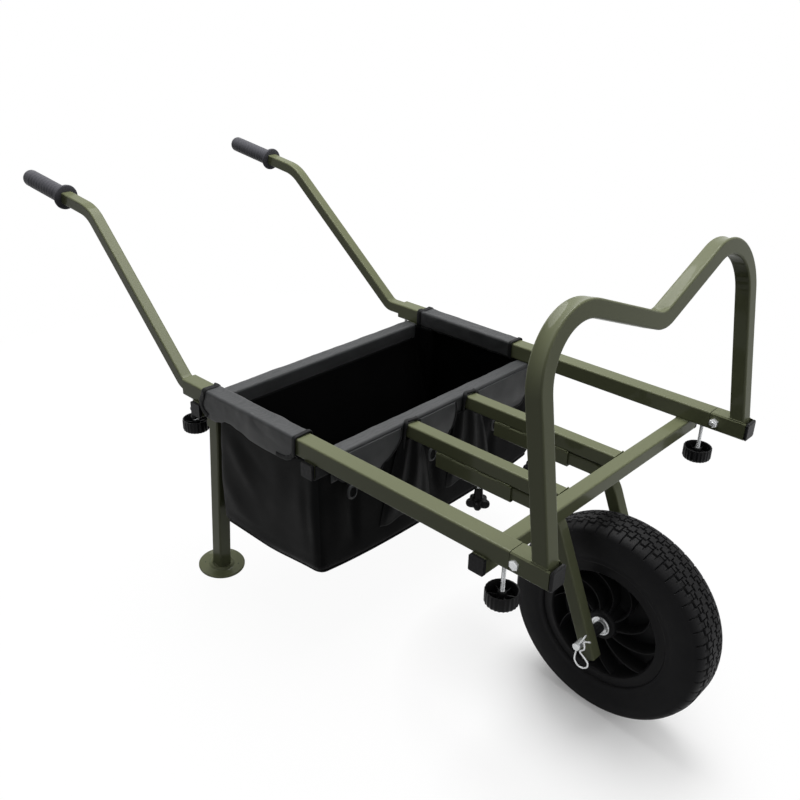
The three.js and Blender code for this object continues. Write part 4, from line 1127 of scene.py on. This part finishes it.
class TROLLEY_OT_bag(bpy.types.Operator):
    """The hanging bag: its walls and its sagging floor, with bound seams along the bottom."""

    bl_idname = "trolley.bag"
    bl_label = "Cargo Bag"

    def execute(self, context):
        around, down = 320, 40
        points = [Vector(bag_wall(i / around, j / down)) for j in range(down + 1) for i in range(around)]
        faces = rings_to_faces(down + 1, around)
        edge, rings = points[-around:], 14
        for ring in range(1, rings + 1):
            inward = 1 - ring / rings
            for point in edge:
                flat = BAG_MIDDLE + (point.xy - BAG_MIDDLE) * inward
                sink = floor_height(flat.x, flat.y) - 5 * (1 - inward) - 2.5 * ripple((flat.x, flat.y, 0), 70, 9)
                share = soft_step(0, 2, ring)
                points.append(Vector((flat.x, flat.y, point.z * (1 - share) + sink * share)))
        base = down * around
        faces += [tuple(base + i for i in face) for face in rings_to_faces(rings + 1, around)]
        bag = add_piece("bag_walls", (points, faces), "Black Panel Cloth", "frame", ["bag"], sharp=75)
        # The front wall's faces take the darker front panel cloth, which is painted shade; the other walls keep the
        # plain cloth
        for face in bag.data.polygons:
            middle = CHASSIS.inverted() @ face.center
            face.material_index = 1 if middle.y < 372 and abs(middle.x) < 282 else 0
        for cloth in ("Front Panel Cloth", "Black Lining", "Black Lining"):
            bag.data.materials.append(finish(cloth))
        thicken(bag).material_offset = 2
        seam = []
        for p in edge:
            sideways, forward = math.copysign(1.2, p.x) if abs(p.x) > 284 else 0, -1.2 if p.y < 375 else 0
            seam.append(p + Vector((sideways, forward, -1)))
        bind_edge("bag_floor_seam", wire(seam, 1.3, 8, closed=True), sharp=60)
        return {"FINISHED"}


FLAP_LINE = [
    (410, 6), (416, -3), (424, -11), (434, -15.5), (445, -17), (474, -17.5), (522, -15.5), (556, -9), (575, -6),
    (590, -7), (606, -14), (622, -18), (640, -18), (652, -17),
]


def sleeve_flap(back):
    """How low the side sleeve's outer flap hangs, at a place along the rail."""
    for (y0, z0), (y1, z1) in zip(FLAP_LINE, FLAP_LINE[1:]):
        if back <= y1:
            return z0 + (z1 - z0) * soft_step(y0, y1, back)
    return FLAP_LINE[-1][1]


def sleeve_end(back, out, up):
    """The sleeve's rear hem bulges behind the rail's side and curves in under it."""
    bulge = 9 * math.exp(-(((up - 6) / 15) ** 2)) - 12 * soft_step(-4, -19, up)
    inside = 5 * soft_step(-8, -14, out)
    return back + (bulge * soft_step(8, 14, out) + inside) * soft_step(SLEEVE_REAR - 45, SLEEVE_REAR, back)


def sleeve_path(low):
    """A side sleeve's section: up from the flap, over the rail and down its inner side, as [out, up] places."""
    half, corner, top = RAIL_SIDE / 2 + 1.3, 3.6, RAIL_SIDE + 1.3
    path = [(half + 0.4, low), (half + 0.8, low + 6), (half + 0.5, 8), (half, top - corner - 1)]
    path += [(half - corner + corner * math.cos(a), top - corner + corner * math.sin(a)) for a in QUARTER_ARC]
    path += [(half * 0.3, top - 0.4), (-half * 0.3, top - 0.5)]
    path += [(-half + corner - corner * math.sin(a), top - corner + corner * math.cos(a)) for a in QUARTER_ARC]
    path += [(-half, 12), (-half, 2), (-half + 3, -2.2), (0, -2.6), (half - 3, -2.4)]
    return [Vector(place) for place in path]


def lifted_off(out, up, middle, slack):
    """A place on a sleeve's section, moved away from the middle of its tube."""
    spot = Vector((out, up))
    return spot + (spot - Vector((0, middle))).normalized() * slack


def ends_across(top, bottom, share):
    """The left and right ends of a tab or drape, at a share of its way down."""
    return [high + (low - high) * share for high, low in zip(top, bottom)]


# Each tab and drape: its ends across at the top, those at the bottom, and its drop or its lowest height
TABS = [((-266, -99), (-225, -146), 66), ((-54, 40), (-40, 24), 66), ((101, 266), (150, 250), 72)]
DRAPES = [((-102, -52), (-150, -20), -178), ((42, 103), (22, 152), -172)]
LOOPS = [(-222, -70), (-30, -78), (146, -84)]


class TROLLEY_OT_sleeves(bpy.types.Operator):
    """Sleeves that hang the bag on its tubes, with their bindings, front tabs, drapes, end wraps and loops."""

    bl_idname = "trolley.sleeves"
    bl_label = "Bag Sleeves"

    def execute(self, context):
        for side, sign in SIDES:
            self.add_side_sleeve(side, sign)
        self.add_cross_sleeve("front", BAG_CROSS, 1)
        self.add_cross_sleeve("rear", REAR_CROSS, -1)
        for number, tab in enumerate(TABS):
            self.add_tab(number + 1, *tab)
        for number, drape in enumerate(DRAPES):
            self.add_drape(number + 1, *drape)
        for side, sign in SIDES:
            self.add_rail_binding(side, sign * INNER_X)
            self.add_end_wrap(side, sign)
        turns = [math.tau * i / 28 for i in range(28)]
        for number, (x, z) in enumerate(LOOPS):
            hoop = [Vector((x + 9 * math.cos(a), 355.5, z + 12 * math.sin(a))) for a in turns]
            strap = wire(hoop, 2.6, 10, closed=True, flat=0.55)
            add_piece(f"bag_loop_{number + 1}", strap, "Charcoal Cloth", "frame")
        return {"FINISHED"}

    def add_rail_binding(self, side, x):
        """A rolled hem that goes up over an inner rail where it meets the sleeve."""
        half, front = TUBE_SIDE / 2 + 3, BAG_CROSS - TUBE_SIDE / 2 - 5
        plan = [(-half - 3, -44), (-half - 1, -26), (-half, -8), (-half + 1.2, 0.6), (-half + 5, 3), (0, 3.2)]
        plan += [(-out, up) for out, up in reversed(plan[:-1])]
        line = smooth_line([(x + out, front + 2 * math.sin(out), up) for out, up in plan], 6)
        bind_edge(f"bag_rail_binding_{side}", self.band(line, Vector((x, 0, CROSS_Z)), 8, 4))

    def add_end_wrap(self, side, sign):
        """Cloth round the front and underside of the bag crossbar's end, where a rail rests on its top."""
        half, low = TUBE_SIDE / 2 + 1.4, -TUBE_SIDE - 1.8
        path = [(-half, -1.5), (-half, low + 2), (-half + 2, low), (half - 2, low), (half, low + 2), (half, -1.5)]
        path = [Vector(place) for place in path]

        def place_of(around, along):
            out, up = along_path(path, around)
            return sign * (254 + 34.6 * along), BAG_CROSS + out, up

        cloth_piece(f"bag_end_wrap_{side}", 40, 16, place_of, "Black Binding")

    def add_drape(self, number, top, bottom, low):
        """Black cloth gathered under an inner rail: pleats that open downward and die out in the wall."""

        def place_of(across, down):
            left, right = ends_across(top, bottom, down**0.8)
            x = left + (right - left) * across
            rim = soft_step(0, 0.12, min(across, 1 - across))
            deep = 7 * math.sin(math.pi * min(0.12 + down * 0.9, 1)) ** 0.7
            pleat = 0.5 + 0.5 * math.cos(math.tau * (2.4 * across + 0.35 * down + 0.2 * number))
            z = -27 + (low + 27) * down - 5 * pleat * soft_step(0.9, 1, down)
            return x, 366.5 - (1.5 + deep * (0.25 + 0.75 * pleat)) * (0.25 + 0.75 * rim), z

        cloth_piece(f"bag_drape_{number}", 60, 48, place_of, "Black Panel Cloth")

    def add_side_sleeve(self, side, sign):
        length = SLEEVE_REAR - SLEEVE_FRONT

        def place_of(around, along):
            back = SLEEVE_FRONT + length * along
            out, up = along_path(sleeve_path(sleeve_flap(back)), around)
            slack = max(0.0, ripple((sign * 30 + out, back, up), 34, 5) + 0.15) * 1.7
            end = min(back - SLEEVE_FRONT, SLEEVE_REAR - back)
            slack += 1.4 * (1 - soft_step(0, 7, end))
            lifted = lifted_off(out, up, RAIL_SIDE / 2, slack)
            hem = sleeve_end(back, out, lifted.y)
            return sign * (RAIL_X + lifted.x), hem, lifted.y

        cloth_piece(f"bag_sleeve_{side}", 84, 96, place_of, "Charcoal Cloth")
        middle = Vector((sign * RAIL_X, 0, RAIL_SIDE / 2))
        for end, along, width in (("front", 0.014, 8), ("rear", 0.982, 11)):
            line = [Vector(place_of((1 - i / 70) * 0.83 + 0.03, along)) for i in range(71)]
            if end == "front":
                line += [Vector(place_of(0.03, along + 0.18 * i / 30)) for i in range(1, 31)]
            bind_edge(f"bag_binding_{end}_{side}", self.band(line, middle, width, 2.6))

    def band(self, line, middle, width, thickness):
        """Folded binding along a line that goes round a tube: a flat strip with soft edges."""
        shape = [(-0.5, 0), (-0.42, 0.42), (-0.2, 0.5), (0.2, 0.5), (0.42, 0.42), (0.5, 0)]
        shape += [(0.42, -0.42), (-0.42, -0.42)]
        points = []
        for place, heading in zip(line, headings_along(line)):
            out = Vector((place.x - middle.x, 0, max(place.z - middle.z, 0) if place.z > 0 else 0))
            over = out.cross(heading).normalized()
            rise = heading.cross(over)
            centre = place + rise * 0.8
            points += [centre + over * a * width + rise * b * thickness for a, b in shape]
        rings, count = len(line), len(shape)
        return points, rings_to_faces(rings, count) + end_faces(rings, count)

    def add_cross_sleeve(self, name, y, facing):
        """facing is 1 where the free flap looks forward, and -1 where it looks back into the bag."""
        half, corner, reach = TUBE_SIDE / 2 + 1.4, 3.4, 257
        top = CROSS_Z + half
        path = [(-half - 0.2, -42), (-half, -30), (-half, top - corner)]
        path += [(-half + corner - corner * math.cos(a), top - corner + corner * math.sin(a)) for a in QUARTER_ARC]
        path += [(0, top - 0.3)]
        path += [(half - corner + corner * math.sin(a), top - corner + corner * math.cos(a)) for a in QUARTER_ARC]
        path += [(half, -28), (half - 2.5, -29.5), (-half + 2, -29.2)]
        path = [Vector(place) for place in path]

        def place_of(around, along):
            x = -reach + 2 * reach * along
            out, up = along_path(path, around)
            slack = max(0.0, ripple((x, out, up + 40), 42, 8) + 0.2) * 1.2
            lifted = lifted_off(out, up, CROSS_Z, slack)
            if up < -30:
                lifted.y += 2.5 * math.sin(x / 37) + 1.5 * math.sin(x / 17)
            return x, y + facing * lifted.x, lifted.y

        cloth_piece(f"bag_sleeve_{name}", 60, 150, place_of, "Charcoal Cloth")

    def add_tab(self, number, top, bottom, drop):
        """A front tab: it hangs from the sleeve, and its sides curve in as they go down."""
        front = BAG_CROSS - TUBE_SIDE / 2 - 3

        def place_of(across, down):
            left, right = ends_across(top, bottom, soft_step(0, 1, down) ** 1.2)
            x = left + (right - left) * across
            edge = min(across, 1 - across) * (right - left)
            rounding = 13 * (1 - min(edge / 20, 1)) ** 2 * soft_step(0.6, 1, down)
            out = 4.5 * math.sin(math.pi * min(down, 0.85)) + 1.2 * ripple((x, drop * down, 0), 45, number)
            return x, front - out, -4 - drop * down + rounding

        cloth_piece(f"bag_tab_{number}", 40, 30, place_of, "Charcoal Cloth")
        edges = [place_of(1, j / 30) for j in range(31)] + [place_of(1 - i / 40, 1) for i in range(1, 41)]
        edges += [place_of(0, 1 - j / 30) for j in range(1, 31)]
        line = [Vector(place) - Y * 0.4 for place in edges]
        bind_edge(f"bag_tab_binding_{number}", wire(line, 1.6, 8))


# Stage


def background_rays(tree):
    """1 for the rays that see the pale background: the camera's, reflected and transmitted ones."""
    ray = add_node(tree, "ShaderNodeLightPath").outputs
    seen = math_node(tree, "MAXIMUM", ray["Is Camera Ray"], ray["Is Transmission Ray"])
    return math_node(tree, "MAXIMUM", seen, ray["Is Glossy Ray"])


class TROLLEY_OT_stage(bpy.types.Operator):
    """Pale floor, soft lamps and the photograph's camera."""

    bl_idname = "trolley.stage"
    bl_label = "Stage"

    def execute(self, context):
        settings = context.scene.trolley_stage
        self.add_floor(settings)
        self.add_lamp("Key Lamp", settings.key_power, 2.2, (0.5, 0.5, 2.7), (0, -0.05, 0.3))
        self.add_lamp("Fill Lamp", settings.fill_power, 1.4, (0.7, -2.6, 0.9), (0, -0.2, 0.35))
        self.add_world(context)
        self.add_camera(context, settings)
        context.scene.view_settings.view_transform = "Standard"
        return {"FINISHED"}

    def add_floor(self, settings):
        half = 9
        points, faces = box((-half, -half, -0.02), (half, half, 0.0))
        data = bpy.data.meshes.new("floor")
        data.from_pydata(points, [], faces)
        floor = link_object("floor", data)
        material, tree, shader = new_finish("Pale Floor", Roughness=0.9, Specular_IOR_Level=0.0)
        seen = background_rays(tree)
        colour = mixed(tree, seen, (0.07, 0.07, 0.07), tuple(settings.floor_colour))
        tree.links.new(colour, shader.inputs["Base Color"])
        where = add_node(tree, "ShaderNodeTexCoord").outputs["Object"]
        away = add_node(tree, "ShaderNodeVectorMath", {0: where}, operation="LENGTH").outputs["Value"]
        foot = {0: where, 1: (-0.04, AXLE_PLACE.y, 0)}
        from_wheel = add_node(tree, "ShaderNodeVectorMath", foot, operation="DISTANCE").outputs["Value"]
        # The floor glows least at the wheel, whose shadow stays, and fully away from the trolley
        near, far = spread(tree, from_wheel, 0.2, 0.95, 0.05, 0.32), spread(tree, away, 0, 1, 0.8, 1.2)
        white = math_node(tree, "MULTIPLY", seen, math_node(tree, "MAXIMUM", near, far))
        glow = add_node(tree, "ShaderNodeEmission", {"Strength": 1.0}).outputs[0]
        both = add_node(tree, "ShaderNodeMixShader", {0: white, 1: shader.outputs[0], 2: glow})
        tree.links.new(both.outputs[0], tree.nodes["Material Output"].inputs["Surface"])
        data.materials.append(material)

    def add_lamp(self, name, power, size, place, aim):
        light = bpy.data.lights.new(name, "AREA")
        light.shape, light.size, light.energy = "DISK", size, power
        lamp = link_object(name, light)
        lamp.location = place
        lamp.rotation_mode = "QUATERNION"
        lamp.rotation_quaternion = (Vector(aim) - Vector(place)).to_track_quat("-Z", "Y")

    def add_world(self, context):
        world = bpy.data.worlds.new("Studio")
        context.scene.world = world
        world.use_nodes = True
        tree = world.node_tree
        back = tree.nodes["Background"]
        where = add_node(tree, "ShaderNodeTexCoord").outputs["Generated"]
        up = add_node(tree, "ShaderNodeSeparateXYZ", {0: where}).outputs[2]
        glow = mixed(tree, spread(tree, up, 0, 1, 0.0, 0.9), (0.03, 0.03, 0.03), (0.4, 0.4, 0.4))
        tree.links.new(mixed(tree, background_rays(tree), glow, (1, 1, 1)), back.inputs[0])
        back.inputs[1].default_value = 1.0

    def add_camera(self, context, settings):
        view = bpy.data.cameras.new("Camera")
        view.lens, view.sensor_width, view.sensor_fit = settings.lens, 36, "HORIZONTAL"
        camera = link_object("Camera", view)
        right = Vector((0.688927, -0.720268, 0.081203))
        up = Vector((0.309528, 0.393645, 0.865584))
        back = right.cross(up)
        place = Matrix((right, up, back)).transposed().to_4x4()
        place.translation = (-1.05699, -1.00705, 1.1377)
        camera.matrix_world = place
        context.scene.camera = camera


PIECE_OPERATORS = [
    TROLLEY_OT_chassis,
    TROLLEY_OT_front_bar,
    TROLLEY_OT_fork,
    TROLLEY_OT_handles,
    TROLLEY_OT_legs,
    TROLLEY_OT_knobs,
    TROLLEY_OT_tyre,
    TROLLEY_OT_rim,
    TROLLEY_OT_bag,
    TROLLEY_OT_sleeves,
    TROLLEY_OT_stage,
]
SETTINGS = {
    "trolley_fittings": TrolleyFittings,
    "trolley_wheel": TrolleyWheel,
    "trolley_bag": TrolleyBag,
    "trolley_stage": TrolleyStage,
}


class TROLLEY_PT_panel(bpy.types.Panel):
    """Lists the trolley's settings and the pieces that it can make."""

    bl_idname = "TROLLEY_PT_panel"
    bl_label = "Fishing Trolley"
    bl_space_type = "VIEW_3D"
    bl_region_type = "UI"
    bl_category = "Trolley"

    def draw(self, context):
        for name in SETTINGS:
            group = getattr(context.scene, name)
            column = self.layout.box().column()
            for key in group.bl_rna.properties.keys():
                if key not in ("rna_type", "name"):
                    column.prop(group, key)
        for operator in PIECE_OPERATORS:
            self.layout.operator(operator.bl_idname)


def register():
    for made in [*SETTINGS.values(), *PIECE_OPERATORS, TROLLEY_PT_panel]:
        bpy.utils.register_class(made)
    for name, group in SETTINGS.items():
        setattr(bpy.types.Scene, name, PointerProperty(type=group))


def unregister():
    for name in SETTINGS:
        delattr(bpy.types.Scene, name)
    for made in reversed([*SETTINGS.values(), *PIECE_OPERATORS, TROLLEY_PT_panel]):
        bpy.utils.unregister_class(made)


def main():
    register()
    for operator in PIECE_OPERATORS:
        space, name = operator.bl_idname.split(".")
        getattr(getattr(bpy.ops, space), name)()


if __name__ == "__main__":
    main()
